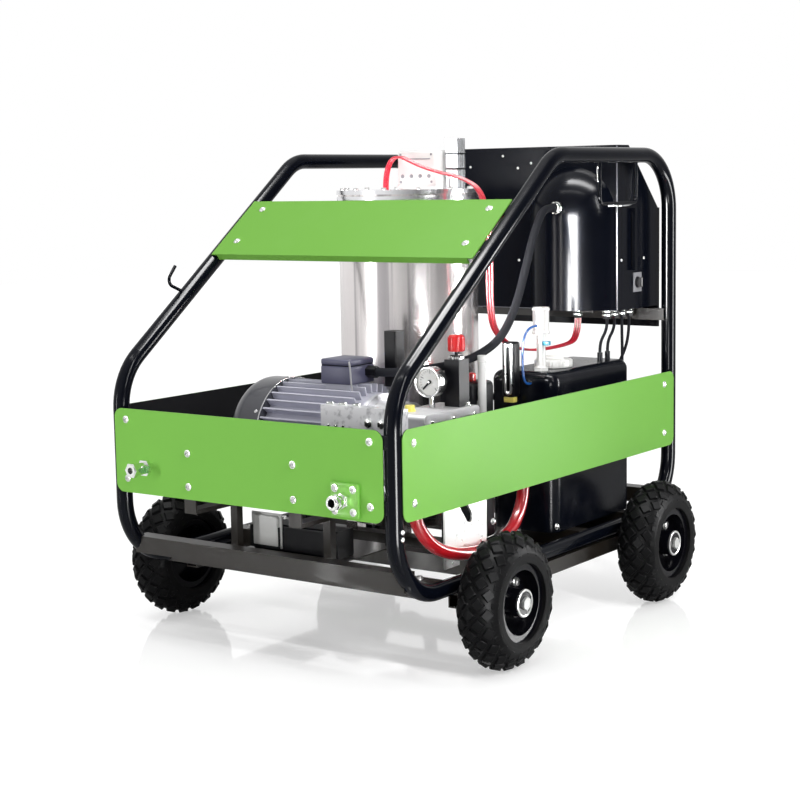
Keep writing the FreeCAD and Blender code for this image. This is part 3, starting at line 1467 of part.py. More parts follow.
def water_tank():
    """The hollow black tank with its rim, filler neck and outlet elbow."""
    length = "tank_right_x - tank_left_x"
    depth = "tank_rear_y - tank_front_y"
    corner = ("tank_left_x", "tank_front_y", "floor_top_z")
    high = "tank_top_z - floor_top_z"
    body = box("tank_block", corner, (length, depth, high))
    body = rounded("tank_corners", body, size.tank_corner, runs_along(Z_AXIS))
    top = size.tank_top_z
    body = rounded("tank_shoulders", body, 24, lambda edge: edge.CenterOfMass.z > top - 0.1)
    out = "tank_rim_out"
    rim_corner = (f"tank_left_x - {out}", "tank_front_y + 0", "tank_rim_z")
    ridge = box("tank_ridge", rim_corner, (f"{length} + 2 * {out}", f"{depth} + {out}", "tank_rim_high"))
    ridge = rounded("tank_ridge_corners", ridge, size.tank_corner, runs_along(Z_AXIS))
    neck = rod("tank_neck", ("cap_x", "cap_y", "tank_top_z - 2"), "z", "filler_dia", "filler_high + 2")
    pipe = "tank_outlet_pipe"
    along = rod("tank_outlet_run", ("tank_outlet_x", "tank_front_y + 2", "tank_outlet_z"), "-y", pipe,
                "tank_front_y + 2 - tank_outlet_y")
    corner_ball = ball("tank_outlet_turn", ("tank_outlet_x", "tank_outlet_y", "tank_outlet_z"), pipe)
    down = rod("tank_outlet_end", ("tank_outlet_x", "tank_outlet_y", "tank_outlet_low_z"), "z", pipe,
               "tank_outlet_z - tank_outlet_low_z")
    wall = "tank_wall"
    inner_corner = (f"tank_left_x + {wall}", f"tank_front_y + {wall}", f"floor_top_z + {wall}")
    inner_sides = (f"{length} - 2 * {wall}", f"{depth} - 2 * {wall}", f"{high} - 2 * {wall}")
    inner = box("tank_inner", inner_corner, inner_sides)
    inner = rounded("tank_inner_corners", inner, size.tank_corner - size.tank_wall, runs_along(Z_AXIS))
    inner_top = size.tank_top_z - size.tank_wall
    inner = rounded("tank_inner_top", inner, 20, lambda edge: edge.CenterOfMass.z > inner_top - 0.1)
    mouth = rod("tank_mouth", ("cap_x", "cap_y", "tank_top_z - 40"), "z", "filler_bore", "80")
    bore_run = rod("tank_outlet_bore", ("tank_outlet_x", "tank_front_y + 10", "tank_outlet_z"), "-y",
                   "suction_hose_bore", "tank_front_y + 10 - tank_outlet_y")
    bore_down = rod("tank_outlet_bore_end", ("tank_outlet_x", "tank_outlet_y", "tank_outlet_low_z - 1"), "z",
                    "suction_hose_bore", "tank_outlet_z - tank_outlet_low_z + 1")
    valve_start = ("float_x", "float_y", "tank_top_z - 10")
    valve_hole = rod("tank_valve_hole", valve_start, "z", "float_stem + 0.2", "20")
    sensors = []
    for index in (1, 2):
        place_of_sensor = (f"gland_x - 20 * {index} + 6", "tank_rear_y - 2", "500")
        sensors.append(rod(f"tank_sensor_{index}", place_of_sensor, "y", "14", "25"))
        place_of_probe = ("gland_x", f"gland_y + {index - 1} * gland_pitch - probe_ahead", "tank_top_z - 2")
        sensors.append(rod(f"tank_probe_{index}", place_of_probe, "z", "14", "22"))
    solid_tank = fused("tank_solid", body, ridge, neck, along, corner_ball, down, *sensors)
    return keep(cut("tank", solid_tank, inner, mouth, bore_run, bore_down, valve_hole), "water_tank")


def tank_cap():
    """The white cap on the filler neck of the tank."""
    start = ("cap_x", "cap_y", "tank_top_z + side_gap")
    body = rod("cap_body", start, "z", "cap_dia", "filler_high + cap_high")
    top = size.tank_top_z + size.side_gap + size.filler_high + size.cap_high
    body = rounded("cap_rounded", body, 4, lambda edge: edge.CenterOfMass.z > top - 0.1
                   and len(edge.Vertexes) == 1)
    below = ("cap_x", "cap_y", "tank_top_z - 5")
    space = rod("cap_space", below, "z", "filler_dia + 2 * side_gap", "filler_high + 5 + 2 * side_gap")
    grip = box("cap_grip", ("cap_x - 30", "cap_y - 4", "tank_top_z + filler_high + cap_high - 1"),
               ("60", "8", "9"))
    return keep(fused("cap", cut("cap_hollow", body, space), grip), "tank_cap")


def float_valve():
    """The white float valve through the tank's top, with the pivot of its arm."""
    start = ("float_x", "float_y", "float_pivot_z + 16")
    stem = rod("float_stem_rod", start, "z", "float_stem", "float_stem_top_z - float_pivot_z - 14")
    nut = hexagon("float_nut", ("float_x", "float_y", "tank_top_z"), "z", "float_stem + 16", "8")
    head = rod("float_head", ("float_x", "float_y", "float_stem_top_z"), "z", "float_valve_dia",
               "float_valve_top_z - float_stem_top_z")
    cheeks = []
    for side in (-1, 1):
        x = f"float_x + {side} * 7 - 2"
        corner = (x, "float_y - 8", "float_pivot_z - 8")
        cheeks.append(box(f"float_cheek_{side + 2}", corner, ("4", "16", "26")))
    pin = rod("float_pin", ("float_x - 9", "float_y", "float_pivot_z"), "x", "float_pin", "18")
    top_joint = rod("float_bridge", start, "z", "float_stem", "8")
    return keep(fused("float_body", stem, nut, head, pin, top_joint, *cheeks), "float_valve")


def float_arm():
    """The arm and the ball of the float, hanging to its lower stop."""
    drop = Rotation(X_AXIS, -35)
    pivot = at(size.float_x, size.float_y, size.float_pivot_z)
    eye = Part.makeCylinder(6.5, 9, Vector(-4.5, 0, 0), X_AXIS)
    arm = Part.makeCylinder(size.float_arm_rod / 2, size.float_arm_long, Vector(), Y_AXIS)
    bulb = Part.makeSphere(size.float_ball / 2, Vector(0, size.float_arm_long, 0))
    bore = Part.makeCylinder(size.float_pin / 2 + size.running_gap, 40, Vector(-20, 0, 0), X_AXIS)
    body = eye.multiFuse([arm, bulb]).cut(bore)
    body.Placement = Placement(pivot, drop)
    return keep(solid("arm", body), "float_arm")


def sight_tube():
    """The filter bowl and its head in front of the tank."""
    start = ("sight_x", "sight_y", "sight_low_z")
    bowl = rod("sight_bowl", start, "z", "sight_dia", "sight_high_z - sight_low_z")
    heads = []
    for index, z in enumerate(("sight_low_z", "sight_high_z - sight_head_high")):
        start = ("sight_x", "sight_y", z)
        heads.append(rod(f"sight_head_{index}", start, "z", "sight_head", "sight_head_high"))
    bracket = box("sight_bracket", ("sight_x - 10", "sight_y", "sight_low_z + 1"),
                  ("20", "tank_front_y - sight_y", "sight_head_high - 2"))
    return keep(fused("sight", bowl, bracket, *heads), "sight_tube")


def detergent_tank():
    """The black detergent can with its red cap and its white riser pipe."""
    corner = ("can_x", "can_y", "floor_top_z")
    body = box("can_block", corner, ("can_wide", "can_deep", "can_high"))
    body = rounded("can_corners", body, size.can_corner, runs_along(Z_AXIS))
    start = ("can_x + can_wide / 2", "can_y + can_deep / 2", "floor_top_z + can_high")
    cap = rod("can_cap", start, "z", "can_cap", "can_cap_high")
    pipe = rod("can_pipe", ("pipe_x", "pipe_y", "pipe_low_z"), "z", "pipe_dia", "pipe_high_z - pipe_low_z")
    clip = box("can_clip", ("can_x + can_wide", "pipe_y - 4", "pipe_low_z + 20"),
               ("pipe_x - pipe_dia / 2 - can_x - can_wide + 1", "8", "14"))
    pipe = fused("can_pipe_clipped", pipe, clip)
    return keep(group("can_parts", body, cap, pipe), "detergent_tank")


def cabinet_outline(name, inset, left, width):
    """The side outline of the cabinet, pulled in by an inset, as a padded body."""
    body = doc.addObject("PartDesign::Body", name)
    sketch = sketch_on(body, "YZ_Plane")
    front = size.cabinet_front_y + inset - size.front_reach
    rear = size.cabinet_rear_y - size.front_reach
    low = size.cabinet_bottom_z + inset
    high = size.cabinet_top_z - inset
    cut_back = size.cabinet_slope - inset * (math.sqrt(2) - 1)
    front_text = f"cabinet_front_y + {inset} - front_reach"
    rear_text = "cabinet_rear_y - front_reach"
    low_text = f"cabinet_bottom_z + {inset}"
    high_text = f"cabinet_top_z - {inset}"
    slope_text = f"cabinet_slope - {inset} * {math.sqrt(2) - 1}"
    draw_outline(sketch, [
        ((front, low), (front_text, low_text)),
        ((rear, low), (rear_text, low_text)),
        ((rear, high - cut_back), (rear_text, f"{high_text} - ({slope_text})")),
        ((rear - cut_back, high), (f"{rear_text} - ({slope_text})", high_text)),
        ((front, high), (front_text, high_text)),
    ])
    doc.recompute()
    pad = body.newObject("PartDesign::Pad", name + "_pad")
    pad.Profile = sketch
    pad.setExpression("Length", linked(width))
    sketch.Visibility = False
    body.setExpression("Placement.Base.x", linked(left))
    doc.recompute()
    return body


def cabinet_shell():
    """The control cabinet with its inner rail, hinges, side bar and bulging front cover."""
    width = "cabinet_right_x - cabinet_left_x"
    outer = cabinet_outline("cabinet_outer", 0, "cabinet_left_x", width)
    sheet_text = "cabinet_sheet"
    inner = cabinet_outline("cabinet_space", size.cabinet_sheet, f"cabinet_left_x + {sheet_text}",
                            f"{width} - 2 * {sheet_text}")
    mouth = box("cabinet_mouth", (f"cabinet_left_x + {sheet_text}", "cabinet_rear_y - 5",
                                  f"cabinet_bottom_z + {sheet_text}"),
                (f"{width} - 2 * {sheet_text}", "10", "cabinet_top_z - cabinet_slope - cabinet_bottom_z - 4"))
    rail = box("cabinet_din_rail", ("contactor_x - 10", f"cabinet_front_y + {sheet_text} - 1",
                                    "contactor_z + contactor_high / 2 - 17"),
               ("contactors * contactor_pitch + 20", "9", "35"))
    pieces = [rail]
    for end in (0, 1):
        z = f"side_bar_z + {end} * (side_bar_long - side_bar_wide)"
        corner = ("cabinet_right_x - 1", "side_bar_y - side_bar_wide / 2", z)
        pieces.append(box(f"side_bar_foot_{end}", corner, ("side_bar_out", "side_bar_wide", "side_bar_wide")))
    corner = ("cabinet_right_x + side_bar_out - side_bar_wide", "side_bar_y - side_bar_wide / 2", "side_bar_z")
    pieces.append(box("side_bar_grip", corner, ("side_bar_wide", "side_bar_wide", "side_bar_long")))
    for index, z in enumerate(("hinge_low_z", "hinge_high_z")):
        pieces.append(hinge_leaf(f"cabinet_hinge_{index}", z, "cabinet_rear_y"))
        pin_start = (HINGE_X, HINGE_Y, z)
        pieces.append(rod(f"cabinet_hinge_pin_{index}", pin_start, "z", "hinge_pin", "2 * hinge_long"))
    shell = fused("cabinet_solid", cut("cabinet_hollow", outer, inner, mouth), *pieces)
    holes = [rod("switch_hole", ("cabinet_right_x - 10", "switch_y", "switch_z"), "x",
                 "switch_stem + 2 * running_gap", "20")]
    cabinet = cut("cabinet", shell, *holes)
    return keep(group("cabinet_parts", cabinet, cabinet_bulge()), "cabinet_shell")




def bulge_body(name, inset):
    """The solid form of the bulge, an upright drum with a domed top, pulled in by an inset."""
    low = f"cabinet_bottom_z + bulge_below + {inset}"
    top = "cabinet_bottom_z + bulge_below + bulge_straight"
    axis_y = "cabinet_front_y + bulge_axis"
    across = f"bulge_od - 2 * {inset}"
    drum = rod(name + "_drum", ("bulge_x", axis_y, low), "z", across, f"bulge_straight - {inset}")
    dome = ball(name + "_dome", ("bulge_x", axis_y, top), across)
    return fused(name, drum, dome)


def conduit_gland(name, across):
    """The six-sided gland of the conduit through the front of the bulge."""
    start = ("conduit_gland_x", "cabinet_front_y - conduit_gland_rear", "conduit_gland_z")
    return hexagon(name, start, "-y", across, "conduit_gland_front - conduit_gland_rear")


def cabinet_bulge():
    """The bulging cover on the cabinet's front, with the hole of the conduit's gland."""
    outer = bulge_body("bulge_outer", "0 * cabinet_sheet")
    inner = bulge_body("bulge_inner", "cabinet_sheet")
    below = "cabinet_bottom_z + bulge_below"
    low = box("bulge_below", ("bulge_x - bulge_od", "cabinet_front_y - bulge_od", f"{below} - bulge_od"),
              ("2 * bulge_od", "3 * bulge_od", "bulge_od"))
    rear = box("bulge_rear", ("bulge_x - bulge_od", "cabinet_front_y", below),
               ("2 * bulge_od", "2 * bulge_od", "3 * bulge_od"))
    hole = conduit_gland("bulge_hole", "conduit_gland")
    return cut("bulge", outer, inner, low, rear, hole)


def hinge_leaf(name, z, leaf_y):
    """A hinge knuckle with the leaf that joins it to its sheet."""
    knuckle = rod(name + "_knuckle", (HINGE_X, HINGE_Y, z), "z", "hinge_knuckle", "hinge_long")
    leaf_corner = (HINGE_X, f"{leaf_y} - 3", z)
    leaf = box(name + "_leaf", leaf_corner, ("hinge_knuckle / 2 + 3", "3", "hinge_long"))
    bore = rod(name + "_bore", (HINGE_X, HINGE_Y, z), "z", "hinge_pin", "hinge_long")
    return cut(name, fused(name + "_solid", knuckle, leaf), bore)


def cabinet_door():
    """The door at the rear of the cabinet, a tray of sheet with two knuckles."""
    width = "cabinet_right_x - cabinet_left_x"
    y = "cabinet_rear_y + side_gap"
    high = "cabinet_top_z - cabinet_slope - door_low_z"
    deep = "door_deep - side_gap"
    outer = box("door_outer", ("cabinet_left_x", y, "door_low_z"), (width, deep, high))
    sheet_text = "door_sheet"
    inner = box("door_inner", (f"cabinet_left_x + {sheet_text}", f"{y} - 1", f"door_low_z + {sheet_text}"),
                (f"{width} - 2 * {sheet_text}", f"{deep} - {sheet_text} + 1", f"{high} - 2 * {sheet_text}"))
    tray = cut("door_tray", outer, inner)
    pieces = [tray]
    bores = []
    for index, z in enumerate(("hinge_low_z", "hinge_high_z")):
        low = f"{z} + hinge_long + side_gap"
        long = "hinge_long - side_gap"
        pieces.append(rod(f"door_knuckle_{index}", (HINGE_X, HINGE_Y, low), "z", "hinge_knuckle", long))
        pieces.append(box(f"door_leaf_{index}", (HINGE_X, f"{HINGE_Y} + 1", low),
                          ("hinge_knuckle / 2 + 1", "3", long)))
        bores.append(rod(f"door_bore_{index}", (HINGE_X, HINGE_Y, f"{z} + hinge_long - 5"), "z",
                         "hinge_pin + 2 * running_gap", "hinge_long + 10"))
    bores.append(rod("latch_bore", ("latch_x", f"{y} - 5", "latch_z"), "y",
                     "latch_stem + 2 * running_gap", "30"))
    return keep(cut("door", fused("door_solid", *pieces), *bores), "cabinet_door")


def door_latch():
    """The quarter-turn latch of the door with its cam."""
    outer = "cabinet_rear_y + door_deep"
    head_start = ("latch_x", f"{outer} + side_gap", "latch_z")
    head = rod("latch_head", head_start, "y", "latch_head", "latch_head_thick")
    stem_start = ("latch_x", f"{outer} - 8", "latch_z")
    stem = rod("latch_stem", stem_start, "y", "latch_stem", "10")
    cam = box("latch_cam", ("latch_x - 6", f"{outer} - 8", "latch_z - 6"), ("12", "3", "latch_cam - 10"))
    key = box("latch_key", ("latch_x - 8", f"{outer} + latch_head_thick - 2", "latch_z - 2"), ("16", "6", "4"))
    return keep(cut("latch", fused("latch_solid", head, stem, cam), key), "door_latch")


def main_switch():
    """The rotary main switch on the cabinet's side."""
    start = ("cabinet_right_x + side_gap", "switch_y", "switch_z")
    knob = rod("switch_knob", start, "x", "switch_knob", "4")
    bar = box("switch_bar", ("cabinet_right_x + side_gap", "switch_y - 4", "switch_z - switch_knob / 2 + 1"),
              ("switch_knob_high", "8", "switch_knob - 2"))
    stem = rod("switch_stem_rod", ("cabinet_right_x - 12", "switch_y", "switch_z"), "x", "switch_stem", "14")
    return keep(fused("switch", knob, bar, stem), "main_switch")


def contactors():
    """The contactors on the cabinet's inner rail."""
    blocks = []
    for index in range(int(size.contactors)):
        corner = (f"contactor_x + {index} * contactor_pitch", "cabinet_front_y + cabinet_sheet + 8",
                  "contactor_z")
        sides = ("contactor_wide", "contactor_deep", "contactor_high")
        blocks.append(box(f"contactor_{index}", corner, sides))
    return keep(group("contactor_row", *blocks), "contactors")


def cable_glands():
    """The glands under the cabinet, on its front, on the motor's box and on the boiler's lid."""
    pieces = []
    low = "cabinet_bottom_z - gland_high"
    for index in range(4):
        start = ("gland_x", f"gland_y + {index} * gland_pitch", low)
        pieces.append(hexagon(f"gland_{index}", start, "z", "gland_dia", "gland_high"))
    start = ("wire_gland_x", "gland_y", low)
    pieces.append(hexagon("gland_wires", start, "z", "gland_dia", "gland_high"))
    pieces.append(conduit_gland("gland_cabinet", "conduit_gland"))
    start = ("terminal_box_x + terminal_box_long", "288", "638")
    pieces.append(hexagon("gland_motor", start, "x", "conduit_gland", "conduit_gland_high"))
    return keep(group("glands", *pieces), "cable_glands")


def inlet_valve():
    """The water inlet valve through the front panel, open towards the front."""
    front = "-tube_od / 2 - panel_thick - inlet_reach"
    total = f"inlet_tail - ({front}) - tube_od / 2"
    body = rod("inlet_pipe", ("inlet_x", front, "inlet_z"), "y", "inlet_body", total)
    nut_outside = hexagon("inlet_nut_outside", ("inlet_x", PANEL_FACE, "inlet_z"), "-y", "inlet_nut",
                          "inlet_nut_thick")
    nut_inside = hexagon("inlet_nut_inside", ("inlet_x", "-tube_od / 2", "inlet_z"), "y", "inlet_nut",
                         "inlet_nut_thick")
    collar = hexagon("inlet_collar", ("inlet_x", f"{front} + 2", "inlet_z"), "y", "inlet_nut - 4", "10")
    boss = rod("inlet_boss", ("inlet_x", "lever_y", "inlet_z"), "x", "20", "inlet_body / 2 + 3")
    bore_start = ("inlet_x", f"{front} - 1", "inlet_z")
    bore = rod("inlet_bore_hole", bore_start, "y", "inlet_bore", "inlet_bore_deep + 1")
    pin = rod("inlet_pin", ("inlet_x + inlet_body / 2", "lever_y", "inlet_z"), "x", "lever_stem", "16")
    fixed = cut("inlet_fixed", fused("inlet_solid", body, nut_outside, nut_inside, collar, boss, pin), bore)
    return keep(fixed, "inlet_valve")


def inlet_lever():
    """The lever of the inlet valve, along the valve when open."""
    x = "inlet_x + inlet_body / 2 + 3 + side_gap"
    hub = rod("lever_hub", (x, "lever_y", "inlet_z"), "x", "lever_wide", "lever_thick + 3")
    reach = "-lever_y - tube_od / 2 - panel_thick - inlet_nut_thick - 2"
    arm = box("lever_arm", (x, "lever_y", "inlet_z - lever_wide / 2 + 2"),
              ("lever_thick", reach, "lever_wide - 4"))
    wing = box("lever_wing", (x, "lever_y - 16", "inlet_z - lever_wide / 2 + 2"),
               ("lever_thick", "18", "lever_wide - 4"))
    bore = rod("lever_bore", (f"{x} - 2", "lever_y", "inlet_z"), "x", "lever_stem + 2 * running_gap", "20")
    return keep(cut("lever", fused("lever_solid", hub, wing, arm), bore), "inlet_lever")


def outlet_coupler():
    """The high-pressure outlet with its flange."""
    front = f"{PANEL_FACE} - outlet_reach"
    total = "outlet_tail + outlet_reach + panel_thick"
    body = rod("outlet_pipe", ("outlet_x", front, "outlet_z"), "y", "outlet_body", total)
    flange = box("outlet_plate", ("outlet_x - outlet_flange / 2", f"{PANEL_FACE} - outlet_flange_thick",
                                  "outlet_z - outlet_flange / 2"),
                 ("outlet_flange", "outlet_flange_thick", "outlet_flange"))
    flange = rounded("outlet_plate_rounded", flange, 10, runs_along(Y_AXIS))
    hexes = hexagon("outlet_hex", ("outlet_x", f"{PANEL_FACE} - outlet_flange_thick + 1", "outlet_z"), "-y",
                    "outlet_hex", "14")
    sleeve = rod("outlet_sleeve", ("outlet_x", f"{front} + 3", "outlet_z"), "y", "outlet_body + 7", "20")
    nut = hexagon("outlet_back_nut", ("outlet_x", "-tube_od / 2", "outlet_z"), "y", "outlet_hex", "7")
    bore = rod("outlet_bore_hole", ("outlet_x", f"{front} - 1", "outlet_z"), "y", "outlet_bore",
               "outlet_bore_deep + 1")
    holes = []
    for i in (-1, 1):
        for k in (-1, 1):
            start = (f"outlet_x + {i} * outlet_bolt_pitch / 2", f"{PANEL_FACE} - 20",
                     f"outlet_z + {k} * outlet_bolt_pitch / 2")
            holes.append(rod(f"outlet_hole_{len(holes)}", start, "y", "bolt_hole", "30"))
    return keep(cut("outlet", fused("outlet_solid", body, flange, hexes, sleeve, nut), bore, *holes),
                "outlet_coupler")


def suction_hose():
    """The red hose from the tank's outlet to the pump's suction port."""
    points = [
        at(290, 672, 371.7), at(290, 672, 318), at(294, 642, 265), at(302, 592, 236), at(318, 530, 232),
        at(346, 470, 232), at(363, 406, 233), at(365, 340, 236), at(361, 276, 243), at(349, 214, 263),
        at(338, 172, 302), at(332, 150, 347), at(332, 150, 394.7),
    ]
    start = at(size.tank_outlet_x, size.tank_outlet_y, size.tank_outlet_low_z - size.side_gap)
    end = at(size.suction_port_x, size.suction_port_y, size.suction_port_z - size.side_gap)
    points = routed(points, start, end)
    hose = cord("suction hose", points, size.suction_hose_dia, size.suction_hose_bore)
    return keep(solid("hose", hose), "suction_hose")


def motor_conduit():
    """The black conduit from the motor's box over the machine to the cabinet."""
    points = [
        at(139.3, 288, 638), at(165, 288, 638), at(196, 298, 640), at(226, 322, 643), at(250, 362, 646),
        at(267, 420, 650), at(278, 494, 662), at(280, 587, 691), at(275, 663, 756), at(262, 738, 860),
        at(246, 792, 918), at(236, 836, 960), at(227, 872, 984), at(225, 902, 993), at(225, 927.7, 993),
    ]
    end_y = size.cabinet_front_y - size.conduit_gland_front - size.side_gap
    points = routed(points, points[0], at(size.conduit_gland_x, end_y, size.conduit_gland_z))
    return keep(solid("conduit", cord("motor conduit", points, size.conduit_dia)), "motor_conduit")


def heater_wires():
    """The red wires over the boiler's lid and the grey sensor wire beside its cover."""
    middle = [
        at(-57, 603, 1046.3), at(-57, 603, 1092), at(-25, 602, 1134), at(43, 601, 1103),
        at(103, 601, 1086), at(168, 604, 1072), at(215, 608, 1046), at(227, 614, 990), at(229, 620, 925),
        at(227, 627, 855), at(222, 634, 780), at(216, 655, 715), at(214, 705, 676), at(214, 765, 652),
        at(214, 845, 640), at(214, 925, 638), at(214, 1000, 640), at(214, 1052, 646), at(214, 1072, 680),
        at(214, 1072, 704.7),
    ]
    gland_end = at(size.wire_gland_x, size.gland_y, size.cabinet_bottom_z - size.gland_high - size.side_gap)
    middle = routed(middle, middle[0], gland_end)
    wires = []
    for index in range(int(size.heater_wires)):
        off = (index - (size.heater_wires - 1) / 2) * size.heater_wire_pitch
        red = []
        for number, point in enumerate(middle):
            turned = Rotation(Z_AXIS, -90 * min(1, max(0, (number - 6) / 4)))
            red.append(point + turned.multVec(Y_AXIS) * off)
        wires.append(cord(f"heater wire {index + 1}", red, size.heater_wire_dia))
    grey = [at(78.3, 634, 1086), at(96, 634, 1086), at(111, 630, 1078), at(118, 624, 1064),
            at(118, 624, 1046.3)]
    wires.append(cord("sensor wire", grey, size.sense_wire_dia))
    return keep(solid("wires", Part.makeCompound(wires)), "heater_wires")


def cabinet_cables():
    """Four cables from the cabinet's glands to the tank, and the blue tube of its float valve."""
    cables = []
    end_y = size.tank_rear_y + 23
    for index in (1, 2):
        x = size.gland_x
        y = size.gland_y + (index + 1) * size.gland_pitch
        end_x = size.gland_x - 20 * index + 6
        points = [at(x, y, 704.7), at(x, y, 668), at(x - 6, (y + end_y + 47) / 2, 618),
                  at(end_x, end_y + 47, 560), at(end_x, end_y + 47, 527), at(end_x, end_y + 37, 510),
                  at(end_x, end_y + 20, 500), at(end_x, end_y + 0.3, 500)]
        cables.append(cord(f"cabinet cable {index}", points, size.cable_dia))
        y = size.gland_y + (index - 1) * size.gland_pitch
        points = [at(x, y, 704.7), at(x, y, 687), at(x, y - 11, 669), at(x, y - 27, 656.5),
                  at(x, y - 38, 638.5), at(x, y - 38, 621.3)]
        end = at(size.gland_x, y - size.probe_ahead, size.tank_top_z + 20 + size.side_gap)
        cables.append(cord(f"probe cable {index}", routed(points, points[0], end), size.cable_dia))
    points = [at(285, 745.7, 712), at(285, 724, 712), at(285, 700, 704), at(285, 684, 684),
              at(285, 679, 656), at(285, 679, 628), at(285, 680, 604), at(285, 687, 583),
              at(285, 699, 574), at(285, 714.7, 574)]
    start_y = size.float_y - size.float_valve_dia / 2 - size.side_gap
    start = at(size.float_x, start_y, size.float_tube_top_z)
    end = at(size.float_x, size.tank_front_y - size.side_gap, size.float_tube_low_z)
    cables.append(cord("float tube", routed(points, start, end), size.float_tube_dia))
    return keep(solid("cables", Part.makeCompound(cables)), "cabinet_cables")


def build():
    """All sub-parts, each under its own label."""
    side_hoop(1, "side_hoop_right")
    side_hoop(-1, "side_hoop_left")
    chassis_beams()
    stub_axles()
    wheels()
    front_panel()
    side_panel(1, "side_panel_right")
    side_panel(-1, "side_panel_left")
    top_panel()
    panel_bolts()
    hose_hooks()
    motor_stand()
    motor_body()
    fan_cowl()
    cooling_fan()
    motor_shaft()
    terminal_box()
    bell_housing()
    pump_crankcase()
    pump_head()
    pump_crankshaft()
    pump_plungers()
    unloader_valve()
    unloader_knob()
    pressure_gauge()
    gauge_needle()
    pressure_switch()
    pump_bracket()
    flow_switch()
    boiler_shell()
    boiler_lid()
    heating_elements()
    terminal_cover()
    vent_post()
    water_tank()
    tank_cap()
    float_valve()
    float_arm()
    sight_tube()
    detergent_tank()
    cabinet_shell()
    cabinet_door()
    door_latch()
    main_switch()
    contactors()
    cable_glands()
    inlet_valve()
    inlet_lever()
    outlet_coupler()
    suction_hose()
    motor_conduit()
    heater_wires()
    cabinet_cables()


build()
doc.recompute()
for item in doc.Objects:
    if {"Invalid", "Error"} & set(item.State):
        raise RuntimeError(f"{item.Label} is not sound: {item.State}")
os.makedirs("parts", exist_ok=True)
whole = FreeCAD.BoundBox()
for piece in PARTS:
    if piece.Shape.isNull() or not piece.Shape.isValid() or not piece.Shape.Solids:
        raise RuntimeError(f"{piece.Label} has no sound shape")
    whole.add(piece.Shape.BoundBox)
    piece.Shape.exportStep(f"parts/{piece.Label}.step")
    print(f"{piece.Label}: {len(piece.Shape.Solids)} solids, {piece.Shape.Volume / 1000:.1f} cm3")
print(f"{len(PARTS)} sub-parts, x {whole.XMin:.2f} {whole.XMax:.2f}, y {whole.YMin:.2f} {whole.YMax:.2f},"
      f" z {whole.ZMin:.2f} {whole.ZMax:.2f}")
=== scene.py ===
import logging
import math
from dataclasses import dataclass
from enum import Enum
from typing import Iterable, Optional, Sequence, Union

import bpy
from mathutils import Euler, Matrix, Vector


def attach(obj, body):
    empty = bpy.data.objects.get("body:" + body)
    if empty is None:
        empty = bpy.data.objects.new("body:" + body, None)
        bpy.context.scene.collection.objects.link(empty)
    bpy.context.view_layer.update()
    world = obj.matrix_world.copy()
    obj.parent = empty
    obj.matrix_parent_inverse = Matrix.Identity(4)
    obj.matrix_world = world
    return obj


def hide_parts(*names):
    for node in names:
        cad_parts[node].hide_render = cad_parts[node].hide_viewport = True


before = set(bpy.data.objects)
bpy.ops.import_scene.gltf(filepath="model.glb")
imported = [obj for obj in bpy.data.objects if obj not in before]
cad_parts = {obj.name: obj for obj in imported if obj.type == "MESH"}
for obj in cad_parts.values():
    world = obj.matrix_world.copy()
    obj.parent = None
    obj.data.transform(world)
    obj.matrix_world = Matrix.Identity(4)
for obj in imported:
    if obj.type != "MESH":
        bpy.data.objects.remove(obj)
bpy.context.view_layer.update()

logging.basicConfig(level=logging.INFO, format="%(message)s")
log = logging.getLogger("pressure_washer")

Point = tuple[float, float, float]
Colour = tuple[float, float, float]
Profile = Sequence[tuple[float, float]]
Piece = bpy.types.Object

FRONT_REACH = 0.5984
ORIGIN: Point = (0.0, 0.0, 0.0)


def at(x: float, y: float, z: float) -> Point:
    """A place given in millimetres, y counted from the front tubes, in the row frame in metres."""
    return (x / 1000, y / 1000 - FRONT_REACH, z / 1000)


def grid(xs: Sequence[float], ys: Sequence[float], zs: Sequence[float]) -> list[Point]:
    """The places at every combination of some coordinates in millimetres."""
    return [at(x, y, z) for x in xs for y in ys for z in zs]


class Axis(Enum):
    """The direction that a round piece points along."""

    X = (0.0, math.pi / 2, 0.0)
    Y = (-math.pi / 2, 0.0, 0.0)
    Z = (0.0, 0.0, 0.0)
    MINUS_Y = (math.pi / 2, 0.0, 0.0)


class Sock:
    """A shader value that Python's operators work on."""

    def __init__(self, tree: "Tree", socket: bpy.types.NodeSocket) -> None:
        """Wrap one output socket.

        Args:
            tree: The node tree that the socket belongs to.
            socket: The output socket.
        """
        self.tree = tree
        self.socket = socket

    def beside(self, output: str) -> "Sock":
        """Another output of the same node."""
        return Sock(self.tree, self.socket.node.outputs[output])

    def _math(self, operation: str, other: "Value") -> "Sock":
        """Add a Math node over this value and another."""
        return self.tree.node("ShaderNodeMath", {"operation": operation}, [self, other])

    def __add__(self, other: "Value") -> "Sock":
        """Sum."""
        return self._math("ADD", other)

    def __radd__(self, other: "Value") -> "Sock":
        """Sum with a plain number first."""
        return self._math("ADD", other)

    def __sub__(self, other: "Value") -> "Sock":
        """Difference."""
        return self._math("SUBTRACT", other)

    def __mul__(self, other: "Value") -> "Sock":
        """Product."""
        return self._math("MULTIPLY", other)

    def below(self, other: "Value") -> "Sock":
        """One where this value is smaller than the other, else nought."""
        return self._math("LESS_THAN", other)

    def larger(self, other: "Value") -> "Sock":
        """The larger of this value and another."""
        return self._math("MAXIMUM", other)

    def ramp(self, low: float, high: float) -> "Sock":
        """A soft step from nought at low to one at high."""
        settings = {"interpolation_type": "SMOOTHSTEP"}
        return self.tree.node("ShaderNodeMapRange", settings, [self, low, high, 0.0, 1.0])


Value = Union[float, Colour, Sock]


